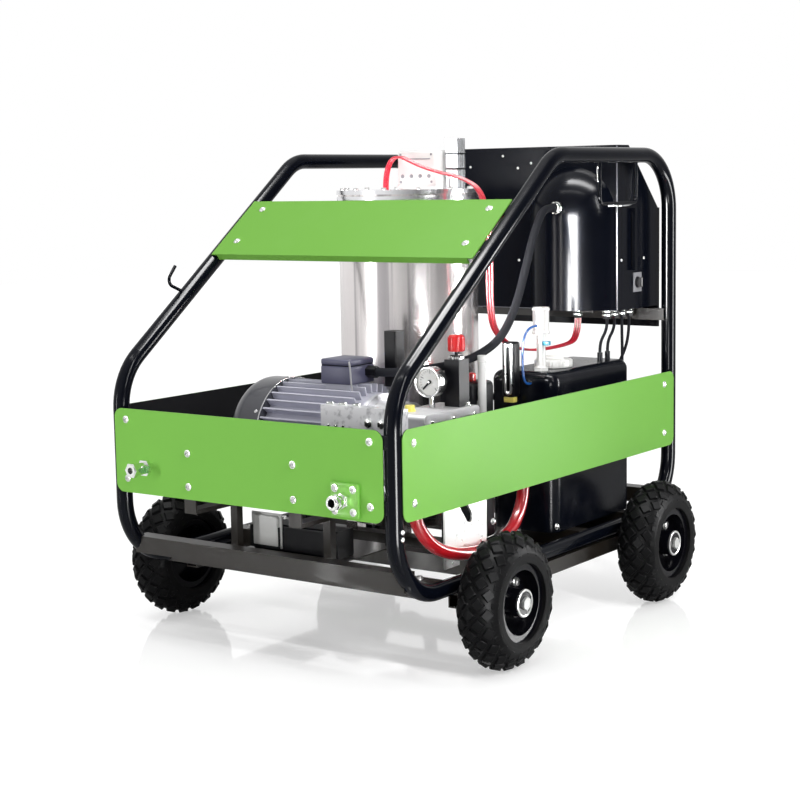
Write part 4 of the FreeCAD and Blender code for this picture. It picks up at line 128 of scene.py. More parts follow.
class Tree:
    """A node tree that is filled node by node."""

    def __init__(self, tree: bpy.types.NodeTree, output: str) -> None:
        """Empty a node tree and give it an output node.

        Args:
            tree: The node tree.
            output: The type of its output node.
        """
        self.tree = tree
        tree.nodes.clear()
        self.output = tree.nodes.new(output)

    def feed(self, socket: bpy.types.NodeSocket, value: Value) -> None:
        """Link a value to an input, or set the input to it.

        Args:
            socket: The input socket.
            value: A link, a colour or a number.
        """
        if isinstance(value, Sock):
            self.tree.links.new(value.socket, socket)
        elif isinstance(value, tuple) and socket.type == "RGBA":
            socket.default_value = (*value, 1.0)
        else:
            socket.default_value = value

    def node(self, kind: str, settings: dict, inputs: Union[Sequence, dict],
             output: Union[int, str] = 0) -> Sock:
        """Add a node.

        Args:
            kind: The node's type.
            settings: Its properties, set before the inputs.
            inputs: Values or links by the place or the name of the socket.
            output: Which output is handed back.

        Returns:
            The chosen output.
        """
        made = self.tree.nodes.new(kind)
        for key, value in settings.items():
            setattr(made, key, value)
        pairs = inputs.items() if isinstance(inputs, dict) else enumerate(inputs)
        for key, value in pairs:
            self.feed(made.inputs[key], value)
        return Sock(self, made.outputs[output])

    def blend(self, share: Value, first: Value, second: Value) -> Sock:
        """The first colour where the share is nought, the second where it is one."""
        inputs = {"Factor": share, "A": first, "B": second}
        return self.node("ShaderNodeMix", {"data_type": "RGBA"}, inputs, "Result")


class Shader(Tree):
    """One material made of nodes, with a principled surface."""

    def __init__(self, name: str) -> None:
        """Start a material with a bare surface.

        Args:
            name: The material's name.
        """
        self.material = bpy.data.materials.new(name)
        self.material.use_nodes = True
        super().__init__(self.material.node_tree, "ShaderNodeOutputMaterial")
        self.surface = self.tree.nodes.new("ShaderNodeBsdfPrincipled")
        self.tree.links.new(self.surface.outputs[0], self.output.inputs["Surface"])

    def place(self) -> Sock:
        """The point on the piece, in the row frame."""
        return self.node("ShaderNodeTexCoord", {}, {}, "Object")

    def part(self, which: str) -> Sock:
        """One coordinate of the point on the piece, X, Y or Z."""
        return self.node("ShaderNodeSeparateXYZ", {}, [self.place()], which)

    def stretched(self, scale: Point) -> Sock:
        """The point on the piece with its axes scaled, for streaks along one of them."""
        settings = {"vector_type": "POINT"}
        return self.node("ShaderNodeMapping", settings, {"Vector": self.place(), "Scale": scale})

    def noise(self, scale: float, detail: float = 3.0, place: Optional[Sock] = None) -> Sock:
        """A cloudy pattern from nought to one."""
        inputs = {"Vector": place or self.place(), "Scale": scale, "Detail": detail}
        return self.node("ShaderNodeTexNoise", {}, inputs)

    def speckle(self, scale: float) -> Sock:
        """The distance to the nearest of many scattered points."""
        return self.node("ShaderNodeTexVoronoi", {}, {"Vector": self.place(), "Scale": scale})

    def edge(self) -> Sock:
        """Nearly one along sharp outer edges of the mesh."""
        return self.node("ShaderNodeNewGeometry", {}, {}, "Pointiness").ramp(0.54, 0.62)

    def set(self, **values: Value) -> None:
        """Set sockets of the surface; underscores in a name stand for spaces."""
        for name, value in values.items():
            self.feed(self.surface.inputs[name.replace("_", " ")], value)

    def bumped(self, height: Sock, depth: float, strength: float = 1.0) -> bpy.types.Material:
        """Raise the surface by a height pattern.

        Args:
            height: The pattern.
            depth: How far the pattern reaches, in metres.
            strength: How strongly it shows.

        Returns:
            The finished material.
        """
        inputs = {"Strength": strength, "Distance": depth, "Height": height}
        self.set(Normal=self.node("ShaderNodeBump", {}, inputs))
        return self.material


def paler(colour: Colour, step: float) -> Colour:
    """A colour with each channel raised by a step."""
    return tuple(min(1.0, channel + step) for channel in colour)


@dataclass(frozen=True)
class Paint:
    """Sprayed or powder-coated metal, with orange peel, dust and slightly worn edges."""

    name: str
    colour: Colour
    rough: float = 0.3
    coat: float = 0.5
    peel: float = 0.00006
    peel_scale: float = 700.0
    wear: Optional[Colour] = None
    dust: float = 0.04
    gloss: float = 0.5

    def make(self) -> bpy.types.Material:
        """Make the finish.

        Returns:
            The material.
        """
        s = Shader(self.name)
        cloud = s.noise(9.0, 5.0)
        dusty = cloud.ramp(0.45, 0.8) * self.dust
        colour = s.blend(dusty, self.colour, paler(self.colour, 0.35))
        if self.wear:
            worn = s.edge() * s.noise(60.0, 4.0).ramp(0.5, 0.72)
            colour = s.blend(worn * 0.7, colour, self.wear)
        s.set(Base_Color=colour, Roughness=self.rough + cloud * 0.08, Coat_Weight=self.coat)
        s.set(Coat_Roughness=0.08, Specular_IOR_Level=self.gloss)
        return s.bumped(s.noise(self.peel_scale, 2.0), self.peel)


@dataclass(frozen=True)
class TwoSidedPaint:
    """Green paint outside and black inside, told apart by a plane."""

    name: str
    outside: Colour
    inside: Colour
    axis: str
    plane: float
    sign: float

    def make(self) -> bpy.types.Material:
        """Make the finish.

        Returns:
            The material.
        """
        s = Shader(self.name)
        inner = ((s.part(self.axis) - self.plane) * self.sign).below(0.0)
        cloud = s.noise(7.0, 4.0)
        fresh = s.blend(cloud * 0.1, self.outside, tuple(c * 0.82 for c in self.outside))
        s.set(Base_Color=s.blend(inner, fresh, self.inside), Roughness=0.4 + cloud * 0.06)
        s.set(Coat_Weight=0.0, Coat_Roughness=0.12, Specular_IOR_Level=0.08)
        return s.bumped(s.noise(900.0, 2.0), 0.00004)


@dataclass(frozen=True)
class Metal:
    """Bare metal with cloudy roughness, and streaks along an axis where it is brushed or rolled."""

    name: str
    colour: Colour
    rough: float = 0.3
    streak: Point = (60.0, 60.0, 60.0)
    stain: float = 0.12
    dirt: Colour = (0.2, 0.18, 0.15)
    grain: float = 0.00002

    def make(self) -> bpy.types.Material:
        """Make the finish.

        Returns:
            The material.
        """
        s = Shader(self.name)
        lines = s.noise(1.0, 6.0, s.stretched(self.streak))
        cloud = s.noise(14.0, 4.0)
        grime = cloud.ramp(0.52, 0.85) * self.stain
        s.set(Base_Color=s.blend(grime, self.colour, self.dirt), Metallic=1.0)
        s.set(Roughness=self.rough + (lines - 0.5) * 0.2 + grime * 0.5)
        return s.bumped(lines, self.grain)


@dataclass(frozen=True)
class PolishedSheet:
    """Thin stainless sheet, nearly mirror bright, with soft upright dents and dark upright streaks painted
    into its colour as reflections.
    """

    name: str
    colour: Colour
    wave: float = 0.0016

    def make(self) -> bpy.types.Material:
        """Make the finish.

        Returns:
            The material.
        """
        s = Shader(self.name)
        upright = s.noise(1.0, 2.0, s.stretched((13.0, 13.0, 1.0)))
        # painted reflection: soft dark upright streaks stand for dark parts mirrored in the jacket
        shade = s.noise(1.0, 3.0, s.stretched((34.0, 34.0, 0.7))).ramp(0.5, 0.66)
        fine = s.noise(1.0, 6.0, s.stretched((160.0, 160.0, 3.0)))
        smear = s.noise(5.0, 3.0)
        tint = s.blend(smear.ramp(0.4, 0.75) * 0.3, self.colour, (0.72, 0.66, 0.66))
        # the streaks darken the colour as a painted reflection
        tint = s.blend(shade * 0.6, tint, (0.2, 0.19, 0.21))
        s.set(Base_Color=tint, Metallic=1.0, Roughness=0.12 + fine * 0.12 + smear * 0.05)
        return s.bumped(upright * 0.9 + fine * 0.03, self.wave, 0.8)


@dataclass(frozen=True)
class Plastic:
    """Moulded plastic with a fine leather grain."""

    name: str
    colour: Colour
    rough: float = 0.45
    grain: float = 0.00006
    grain_scale: float = 900.0
    coat: float = 0.0
    gloss: float = 0.5

    def make(self) -> bpy.types.Material:
        """Make the finish.

        Returns:
            The material.
        """
        s = Shader(self.name)
        s.set(Specular_IOR_Level=self.gloss)
        cloud = s.noise(11.0, 4.0)
        colour = s.blend(cloud.ramp(0.45, 0.85) * 0.16, self.colour, paler(self.colour, 0.12))
        s.set(Base_Color=colour, Roughness=self.rough + (cloud - 0.5) * 0.12, Coat_Weight=self.coat)
        return s.bumped(s.speckle(self.grain_scale), self.grain)


@dataclass(frozen=True)
class Rubber:
    """Rubber with a dusty bloom."""

    name: str
    colour: Colour
    rough: float = 0.55
    bloom: float = 0.1
    grain_scale: float = 500.0
    coat: float = 0.0
    gloss: float = 0.5

    def make(self) -> bpy.types.Material:
        """Make the finish.

        Returns:
            The material.
        """
        s = Shader(self.name)
        s.set(Specular_IOR_Level=self.gloss, Coat_Weight=self.coat, Coat_Roughness=0.06)
        cloud = s.noise(16.0, 5.0)
        colour = s.blend(cloud.ramp(0.42, 0.8) * self.bloom, self.colour, paler(self.colour, 0.16))
        s.set(Base_Color=colour, Roughness=self.rough + (cloud - 0.5) * 0.14)
        return s.bumped(s.noise(self.grain_scale, 3.0), 0.00008)


Finish = Union[Paint, TwoSidedPaint, Metal, PolishedSheet, Plastic, Rubber]

BLACK_PAINT = Paint("black gloss paint", (0.002, 0.0028, 0.006), 0.12, 0.03, 0.00002, dust=0.004, gloss=0.1)
CABINET_PAINT = Paint("cabinet gloss paint", (0.002, 0.003, 0.007), 0.15, 0.02, 0.00003,
                      dust=0.004, gloss=0.08)
MOTOR_PAINT = Paint("motor paint", (0.5, 0.5, 0.58), 0.5, 0.0, 0.00008, 500.0, gloss=0.35)
COWL_PAINT = Paint("cowl paint", (0.045, 0.046, 0.056), 0.26, 0.3, 0.00004)
BOX_PAINT = Paint("terminal box paint", (0.075, 0.075, 0.135), 0.42, 0.0, 0.00008, 500.0)
RIM_PAINT = Paint("rim gloss paint", (0.003, 0.003, 0.005), 0.14, 0.06, dust=0.01, gloss=0.14)
STAND_PAINT = Paint("base paint", (0.014, 0.011, 0.008), 0.32, 0.1, dust=0.02, gloss=0.3)
GREEN = (0.206, 0.52, 0.08)
# painted shade: the top panel gets a darker copy of the panels' green
TOP_GREEN_PAINTED_SHADE = Paint("top panel green with painted shade", (0.178, 0.445, 0.063), 0.42, 0.0, 0.00004, 900.0, None, 0.02, 0.08)
ALUMINIUM = Metal("cast aluminium", (0.62, 0.62, 0.64), 0.36, (80.0, 80.0, 80.0), 0.2)
BRIGHT_ALUMINIUM = Metal("extruded aluminium", (0.74, 0.75, 0.77), 0.26, (300.0, 300.0, 6.0), 0.05)
CAST_GREY = Metal("grey casting", (0.46, 0.46, 0.47), 0.5, (140.0, 140.0, 140.0), 0.3, grain=0.0002)
BRASS = Metal("brass", (0.66, 0.5, 0.26), 0.28, (120.0, 120.0, 120.0), 0.18, (0.2, 0.13, 0.05))
STEEL = Metal("turned steel", (0.6, 0.6, 0.6), 0.25, (400.0, 40.0, 40.0), 0.1)
ZINC = Metal("zinc plate", (0.68, 0.68, 0.67), 0.3, (90.0, 90.0, 90.0), 0.14)
STAINLESS = PolishedSheet("stainless jacket", (0.93, 0.885, 0.88))
LID_STEEL = Metal("lid steel", (0.88, 0.88, 0.9), 0.2, (30.0, 300.0, 30.0), 0.08)
NICKEL = Metal("nickel plate", (0.8, 0.82, 0.79), 0.16, (150.0, 150.0, 150.0), 0.14)
HEAD_STEEL = Paint("silver lacquer", (0.78, 0.78, 0.8), 0.34, 0.3, 0.00012, 260.0, (0.2, 0.2, 0.22), 0.0)
BLACK_PLASTIC = Plastic("black plastic", (0.004, 0.004, 0.006), 0.36, gloss=0.18)
TANK_PLASTIC = Plastic("tank plastic", (0.003, 0.004, 0.008), 0.2, 0.0001, 260.0, 0.02, 0.12)
WHITE_PLASTIC = Plastic("white plastic", (0.84, 0.84, 0.82), 0.35)
RED_PLASTIC = Plastic("red plastic", (0.72, 0.01, 0.012), 0.25, 0.00003, 900.0, 0.4)
TEAL_PLASTIC = Plastic("teal plastic", (0.02, 0.36, 0.55), 0.3)
YELLOW_PLASTIC = Plastic("yellow plastic", (0.86, 0.75, 0.16), 0.35)
LEVER_GREEN = Plastic("green grip", (0.1, 0.3, 0.08), 0.3, coat=0.3)
RED_RUBBER = Rubber("red hose", (0.62, 0.01, 0.02), 0.25, 0.04, coat=0.6)
BLACK_RUBBER = Rubber("black sheath", (0.02, 0.021, 0.026), 0.6, 0.03, gloss=0.03)
RED_WIRE = Plastic("red wire", (0.66, 0.014, 0.04), 0.3, coat=0.3)
GREY_WIRE = Plastic("grey wire", (0.35, 0.35, 0.36), 0.4)
BLUE_TUBE = Plastic("blue tube", (0.012, 0.13, 0.5), 0.25, coat=0.3)
TYRE_RUBBER = Rubber("tyre rubber", (0.005, 0.005, 0.0055), 0.42, 0.03, 320.0, gloss=0.05)
DIAL_WHITE = Plastic("dial white", (0.85, 0.85, 0.83), 0.4, 0.00001)
# painted highlight: a lighter grey for the cabinet's edge strips, standing for light caught on its edges
EDGE_HIGHLIGHT_PAINT = Paint("painted edge highlight", (0.16, 0.16, 0.19), 0.25, 0.2, dust=0.02)
FLANGE_GREEN = Paint("flange green", GREEN, 0.3, 0.1, 0.00004, 900.0, None, 0.02, 0.4)
PIPE_WHITE = Plastic("pipe white", (0.78, 0.78, 0.77), 0.4)
SWITCH_GREY = Plastic("switch grey", (0.3, 0.3, 0.32), 0.35)

MADE: dict[str, bpy.types.Material] = {}


def material_of(finish: Finish) -> bpy.types.Material:
    """The material of a finish, made once."""
    if finish.name not in MADE:
        MADE[finish.name] = finish.make()
    return MADE[finish.name]


class Bench:
    """The modelling moves that every sub-assembly uses."""

    @staticmethod
    def pick(*pieces: Piece) -> None:
        """Select only these pieces, with the first one active."""
        if bpy.context.object and bpy.context.object.mode != "OBJECT":
            bpy.ops.object.mode_set(mode="OBJECT")
        bpy.ops.object.select_all(action="DESELECT")
        for piece in pieces:
            piece.select_set(True)
        if pieces:
            bpy.context.view_layer.objects.active = pieces[0]

    @classmethod
    def block(cls, low: Point, high: Point, bevel: float = 0.0, segments: int = 2) -> Piece:
        """A block between two corners, with rounded edges.

        Args:
            low: The lowest corner.
            high: The highest corner.
            bevel: How far the edges are rounded.
            segments: The faces across each rounding.

        Returns:
            The block.
        """
        cls.pick()
        bpy.ops.mesh.primitive_cube_add(size=1.0, location=(Vector(low) + Vector(high)) / 2)
        made = bpy.context.object
        made.scale = Vector(high) - Vector(low)
        cls.settle(made)
        if bevel:
            cls.soften(made, bevel, segments)
        return made

    @classmethod
    def disc(cls, centre: Point, axis: Axis, radius: float, length: float, sides: int = 32,
             bevel: float = 0.0, segments: int = 2) -> Piece:
        """A round or many-sided bar that starts at a point and runs along an axis.

        Args:
            centre: The middle of its first end.
            axis: The way it runs.
            radius: Its radius.
            length: Its length.
            sides: The number of its sides.
            bevel: How far its end edges are rounded.
            segments: The faces across each rounding.

        Returns:
            The bar.
        """
        cls.pick()
        turn = Euler(axis.value)
        middle = Vector(centre) + turn.to_matrix() @ Vector((0, 0, length / 2))
        bpy.ops.mesh.primitive_cylinder_add(vertices=sides, radius=radius, depth=length,
                                            location=middle, rotation=turn)
        made = bpy.context.object
        cls.settle(made)
        if bevel:
            cls.soften(made, bevel, segments)
        return made

    @classmethod
    def turned(cls, profile: Profile, centre: Point, axis: Axis, steps: int = 40,
               closed: bool = False) -> Piece:
        """A piece turned on a lathe from a profile.

        Args:
            profile: Pairs of radius and distance along the axis.
            centre: Where the distance is nought.
            axis: The axis of turning.
            steps: The faces round it.
            closed: Whether the profile's ends join, as on a ring.

        Returns:
            The turned piece.
        """
        cls.pick()
        points = [Vector((radius, 0.0, along)) for radius, along in profile]
        if closed:
            points.append(points[0])
        bpy.ops.mesh.primitive_plane_add(size=0.01, location=points[0])
        made = bpy.context.object
        cls.settle(made)
        bpy.ops.object.mode_set(mode="EDIT")
        bpy.ops.mesh.merge(type="CENTER")
        for here, there in zip(points, points[1:]):
            bpy.ops.mesh.extrude_region_move(TRANSFORM_OT_translate={"value": there - here})
        bpy.ops.mesh.select_all(action="SELECT")
        bpy.ops.mesh.spin(steps=steps, angle=math.tau, center=(0, 0, 0), axis=(0, 0, 1))
        bpy.ops.mesh.select_all(action="SELECT")
        bpy.ops.mesh.remove_doubles(threshold=0.00001)
        bpy.ops.mesh.normals_make_consistent(inside=False)
        bpy.ops.object.mode_set(mode="OBJECT")
        made.rotation_euler = Euler(axis.value)
        made.location = centre
        cls.settle(made)
        cls.smooth(made)
        return made

    @classmethod
    def wire(cls, route: Sequence[Point], radius: float) -> Piece:
        """A stiff bent wire as a mesh.

        Args:
            route: Its points in millimetres.
            radius: Its radius in metres.

        Returns:
            The wire.
        """
        cls.pick(tube("wire", [at(*point) for point in route], radius))
        bpy.ops.object.convert(target="MESH")
        return bpy.context.object

    @staticmethod
    def settle(made: Piece) -> None:
        """Apply an object's place, turn and size to its mesh.

        Args:
            made: The object.
        """
        bpy.context.view_layer.update()
        made.data.transform(made.matrix_world)
        made.matrix_world = Matrix.Identity(4)

    @classmethod
    def apply(cls, made: Piece) -> None:
        """Apply all modifiers of an object."""
        cls.pick(made)
        for modifier in list(made.modifiers):
            bpy.ops.object.modifier_apply(modifier=modifier.name)

    @classmethod
    def soften(cls, made: Piece, width: float, segments: int = 2) -> None:
        """Round the sharp edges of a piece.

        Args:
            made: The piece.
            width: How far the edges are rounded.
            segments: The faces across each rounding.
        """
        modifier = made.modifiers.new("rounding", "BEVEL")
        modifier.width = width
        modifier.segments = segments
        modifier.limit_method = "ANGLE"
        modifier.angle_limit = math.radians(40)
        cls.apply(made)
        cls.smooth(made)

    @classmethod
    def smooth(cls, made: Piece, angle: float = 38.0) -> None:
        """Shade a piece smoothly, apart from its sharp edges."""
        cls.pick(made)
        bpy.ops.object.shade_smooth_by_angle(angle=math.radians(angle))

    @classmethod
    def carved(cls, made: Piece, tool: Piece) -> Piece:
        """Cut one piece out of another and remove it.

        Args:
            made: The piece that stays.
            tool: The piece that is cut out.

        Returns:
            The piece that stays.
        """
        modifier = made.modifiers.new("carving", "BOOLEAN")
        modifier.operation = "DIFFERENCE"
        modifier.solver = "EXACT"
        modifier.object = tool
        cls.apply(made)
        bpy.data.objects.remove(tool)
        return made

    @classmethod
    def joined(cls, pieces: Sequence[Piece]) -> Piece:
        """Make one object of several.

        Args:
            pieces: The pieces, of which the first takes in the others.

        Returns:
            The first piece.
        """
        cls.pick(*pieces)
        if len(pieces) > 1:
            bpy.ops.object.join()
        return pieces[0]

    @staticmethod
    def copied(made: Piece, matrix: Matrix) -> Piece:
        """Copy a piece with its own mesh.

        Args:
            made: The piece.
            matrix: The move of the copy.

        Returns:
            The copy.
        """
        copy = bpy.data.objects.new(made.name, made.data.copy())
        bpy.context.collection.objects.link(copy)
        copy.data.transform(matrix)
        return copy

    @classmethod
    def repeated(cls, model: Piece, moves: Iterable[Matrix]) -> list[Piece]:
        """Copy a model to several places and remove the model.

        Args:
            model: The piece that is copied.
            moves: The move of each copy.

        Returns:
            The copies.
        """
        copies = [cls.copied(model, move) for move in moves]
        bpy.data.objects.remove(model)
        return copies

    @classmethod
    def dressed(cls, pieces: Sequence[Piece], name: str, finish: Finish, slot: str,
                nodes: Sequence[str] = (), body: str = "chassis") -> None:
        """Join pieces into one and give it its name, finish and body.

        Args:
            pieces: The pieces.
            name: The name of the whole.
            finish: Its finish.
            slot: The record's material slot; not used.
            nodes: The CAD nodes that it stands for.
            body: The CAD body that it rides on.
        """
        made = cls.joined(pieces)
        made.name = name
        made.data.name = name
        made.data.materials.clear()
        made.data.materials.append(material_of(finish))
        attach(made, body)
        if nodes:
            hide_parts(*nodes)
        log.info("built %s", name)


def about(axis: str, degrees: float) -> Matrix:
    """A turn about an axis of the row frame."""
    return Matrix.Rotation(math.radians(degrees), 4, axis)


def shifted(place: Point) -> Matrix:
    """The move from the origin to a place."""
    return Matrix.Translation(place)


def around(centre: Point, axis: str, count: int) -> list[Matrix]:
    """The moves that set copies evenly about an axis through a centre."""
    return [shifted(centre) @ about(axis, index * 360 / count) for index in range(count)]


@dataclass(frozen=True)
class Head:
    """A short bar with rounded ends: the head of a bolt or screw, a washer or a plug."""

    radius: float
    high: float
    sides: int
    bevel: float
    segments: int = 2

    def on(self, places: Iterable[Point], axis: Axis = Axis.Z) -> list[Piece]:
        """One of these at each place, pointing along an axis."""
        return [Bench.disc(place, axis, self.radius, self.high, self.sides, self.bevel, self.segments)
                for place in places]


Row = tuple[Head, Iterable[Point], Axis]


def set_heads(rows: Iterable[Row]) -> list[Piece]:
    """All the heads of some rows, a row being a head, its places and the way that it points."""
    return [piece for head, places, axis in rows for piece in head.on(places, axis)]


@dataclass(frozen=True)
class Box:
    """A block with rounded edges between two corners in millimetres."""

    low: Point
    high: Point
    bevel: float = 0.0
    segments: int = 2

    def made(self) -> Piece:
        """The block."""
        return Bench.block(at(*self.low), at(*self.high), self.bevel, self.segments)


@dataclass(frozen=True)
class Ribs:
    """Ribs set evenly round a cap or a knob, each a block between two corners in metres."""

    low: Point
    high: Point
    bevel: float
    count: int

    def round(self, centre: Point) -> list[Piece]:
        """The ribs about the upright axis through a centre."""
        rib = Bench.block(self.low, self.high, self.bevel, 1)
        return Bench.repeated(rib, around(centre, "Z", self.count))


def tube(name: str, points: Sequence[Point], radius: float) -> Piece:
    """A round cord on one smooth spline through the control points of its route.

    Args:
        name: The cord's name.
        points: The route's points, in the row frame.
        radius: The cord's radius.

    Returns:
        The curve object.
    """
    curve = bpy.data.curves.new(name, "CURVE")
    curve.dimensions = "3D"
    curve.bevel_depth = radius
    curve.bevel_resolution = 5
    curve.use_fill_caps = True
    spline = curve.splines.new("NURBS")
    spline.points.add(len(points) - 1)
    for control, point in zip(spline.points, points):
        control.co = (*point, 1.0)
    spline.order_u = 3
    spline.use_endpoint_u = True
    spline.resolution_u = 10
    made = bpy.data.objects.new(name, curve)
    bpy.context.collection.objects.link(made)
    return made


def length_of(cord: Piece) -> float:
    """Measure a cord along its own spline.

    Args:
        cord: The curve object.

    Returns:
        Its length in metres.
    """
    bare = cord.data.copy()
    bare.bevel_depth = 0.0
    holder = bpy.data.objects.new("line", bare)
    bpy.context.collection.objects.link(holder)
    bpy.context.view_layer.update()
    points = [vertex.co.copy() for vertex in bpy.data.meshes.new_from_object(holder).vertices]
    bpy.data.objects.remove(holder)
    return sum((there - here).length for here, there in zip(points, points[1:]))


@dataclass
class Cords:
    """The hose, the conduit, the heater wires and the cables, on the routes of their solids."""

    suction: Sequence[Point] = (
        (290, 672, 371.7), (290, 672, 318), (294, 642, 265), (302, 592, 236), (318, 530, 232),
        (346, 470, 232), (363, 406, 233), (365, 340, 236), (361, 276, 243), (349, 214, 263),
        (338, 172, 302), (332, 150, 347), (332, 150, 394.7),
    )
    conduit: Sequence[Point] = (
        (139.3, 288, 638), (165, 288, 638), (196, 298, 640), (226, 322, 643), (250, 362, 646),
        (267, 420, 650), (278, 494, 662), (280, 587, 691), (275, 663, 756), (262, 738, 860),
        (246, 792, 918), (236, 836, 960), (227, 872, 984), (225, 902, 993), (225, 927.7, 993),
    )
    heater: Sequence[Point] = (
        (-57, 603, 1046.3), (-57, 603, 1092), (-25, 602, 1134), (43, 601, 1103), (103, 601, 1086),
        (168, 604, 1072), (215, 608, 1046), (227, 614, 990), (229, 620, 925), (227, 627, 855),
        (222, 634, 780), (216, 655, 715), (214, 705, 676), (214, 765, 652), (214, 845, 640),
        (214, 925, 638), (214, 1000, 640), (214, 1052, 646), (214, 1072, 680), (214, 1072, 704.7),
    )
    sensor: Sequence[Point] = (
        (78.3, 634, 1086), (96, 634, 1086), (111, 630, 1078), (118, 624, 1064), (118, 624, 1046.3),
    )
    float_tube: Sequence[Point] = (
        (285, 745.7, 712), (285, 724, 712), (285, 700, 704), (285, 684, 684), (285, 679, 656),
        (285, 679, 628), (285, 680, 604), (285, 687, 583), (285, 699, 574), (285, 714.7, 574),
    )
    heater_pitch: float = 7.0
    turn_start: int = 6
    turn_points: int = 4
    gland_x: float = 300.0
    gland_y: float = 1072.0
    gland_z: float = 704.7
    gland_pitch: float = 40.0
    probe_rear: float = 1132.0

    def lay(self, name: str, route: Sequence[Point], diameter: float, finish: Finish,
            nodes: Sequence[str] = ()) -> None:
        """Args:
            name: The cord's name.
            route: Its points in millimetres.
            diameter: Its diameter in metres.
            finish: Its finish.
            nodes: The CAD nodes that it stands for.
        """
        points = [at(*point) for point in route]
        made = tube(name, points, diameter / 2)
        made.data.materials.append(material_of(finish))
        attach(made, "chassis")
        if nodes:
            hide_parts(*nodes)
        length = length_of(made)
        log.info("laid %s, %.3f m", name, length)

    def heaters(self) -> list[list[Point]]:
        """Set the three red wires side by side, also where their route turns.

        Returns:
            The route of each wire.
        """
        routes = []
        for off in (-self.heater_pitch, 0.0, self.heater_pitch):
            route = []
            for number, (x, y, z) in enumerate(self.heater):
                turned = min(1.0, max(0.0, (number - self.turn_start) / self.turn_points))
                turn = math.radians(90 * turned)
                route.append((x + off * math.sin(turn), y + off * math.cos(turn), z))
            routes.append(route)
        return routes

    def cables(self) -> list[list[Point]]:
        """Lead two cables from the cabinet to the tank's rear and two to its top.

        Returns:
            The route of each cable.
        """
        routes = []
        x, top, rear = self.gland_x, self.gland_z, self.probe_rear
        for index in (1, 2):
            y = self.gland_y + (index + 1) * self.gland_pitch
            end_x = x - 20 * index + 6
            routes.append([
                (x, y, top), (x, y, 668), (x - 6, (y + rear + 47) / 2, 618), (end_x, rear + 47, 560),
                (end_x, rear + 47, 527), (end_x, rear + 37, 510), (end_x, rear + 20, 500),
                (end_x, rear + 0.3, 500),
            ])
            y = self.gland_y + (index - 1) * self.gland_pitch
            routes.append([
                (x, y, top), (x, y, 687), (x, y - 11, 669), (x, y - 27, 656.5), (x, y - 38, 638.5),
                (x, y - 38, 621.3),
            ])
        return routes

    def build(self) -> None:
        """Lay all the cords."""
        self.lay("suction_hose_red", self.suction, 0.03, RED_RUBBER,
                 ["suction_hose"])
        self.lay("motor_conduit_black", self.conduit, 0.02, BLACK_RUBBER,
                 ["motor_conduit"])
        for index, route in enumerate(self.heaters(), start=1):
            self.lay(f"heater_wire_red_{index}", route, 0.006, RED_WIRE,
                     ["heater_wires"] if index == 1 else [])
        self.lay("sensor_wire_grey", self.sensor, 0.004, GREY_WIRE)
        for index, route in enumerate(self.cables(), start=1):
            self.lay(f"cabinet_cable_{index}", route, 0.008, BLACK_RUBBER,
                     ["cabinet_cables"] if index == 1 else [])
        self.lay("float_tube_blue", self.float_tube, 0.006, BLUE_TUBE)


@dataclass
class Carried:
    """The CAD nodes that stay in sight, each with its finish."""

    inside: Colour = (0.012, 0.012, 0.014)
    side_plane: float = 0.4085
    front_plane: float = -0.0205 - FRONT_REACH
    finishes: Sequence[tuple[Finish, str]] = (
        (BLACK_PAINT, "side_hoop_right side_hoop_left hose_hooks"),
        (STAND_PAINT, "chassis_beams motor_stand"),
        (ZINC, "stub_axles pump_bracket door_latch panel_bolts"),
        (MOTOR_PAINT, "motor_body fan_cowl"),
        (BOX_PAINT, "motor_terminal_box"),
        (ALUMINIUM, "bell_housing sight_tube"),
        (CAST_GREY, "pump_crankcase"),
        (HEAD_STEEL, "pump_head"),
        (STEEL, "motor_shaft pump_crankshaft pump_plungers pressure_gauge heating_elements"),
        (STAINLESS, "boiler_shell"),
        (LID_STEEL, "boiler_lid"),
        (BRIGHT_ALUMINIUM, "vent_post"),
        (NICKEL, "inlet_valve outlet_coupler"),
        (BRASS, "float_arm"),
        (LEVER_GREEN, "inlet_lever"),
        (RED_PLASTIC, "unloader_knob"),
        (WHITE_PLASTIC, "terminal_cover tank_cap float_valve"),
        (TANK_PLASTIC, "water_tank"),
        (BLACK_PLASTIC, "cooling_fan unloader_valve gauge_needle pressure_switch flow_switch "
                        "detergent_tank main_switch contactors cable_glands"),
        (CABINET_PAINT, "cabinet_shell cabinet_door"),
        # the top panel takes the darker green, painted as shade
        (TOP_GREEN_PAINTED_SHADE, "top_panel"),
        (RIM_PAINT, "rim_front_right rim_front_left rim_rear_right rim_rear_left"),
        (TYRE_RUBBER, "tyre_front_right tyre_front_left tyre_rear_right tyre_rear_left"),
    )

    def build(self) -> None:
        """Put each finish on its nodes; the low panels are green outside and black inside."""
        inside, side = self.inside, self.side_plane
        panels = (
            (TwoSidedPaint("left panel paint", GREEN, inside, "X", -side, -1.0), "side_panel_left"),
            (TwoSidedPaint("right panel paint", GREEN, inside, "X", side, 1.0), "side_panel_right"),
            (TwoSidedPaint("front panel paint", GREEN, inside, "Y", self.front_plane, -1.0), "front_panel"),
        )
        for finish, names in (*self.finishes, *panels):
            for name in names.split():
                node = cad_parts[name]
                node.data.materials.clear()
                node.data.materials.append(material_of(finish))
                log.info("finished %s", name)


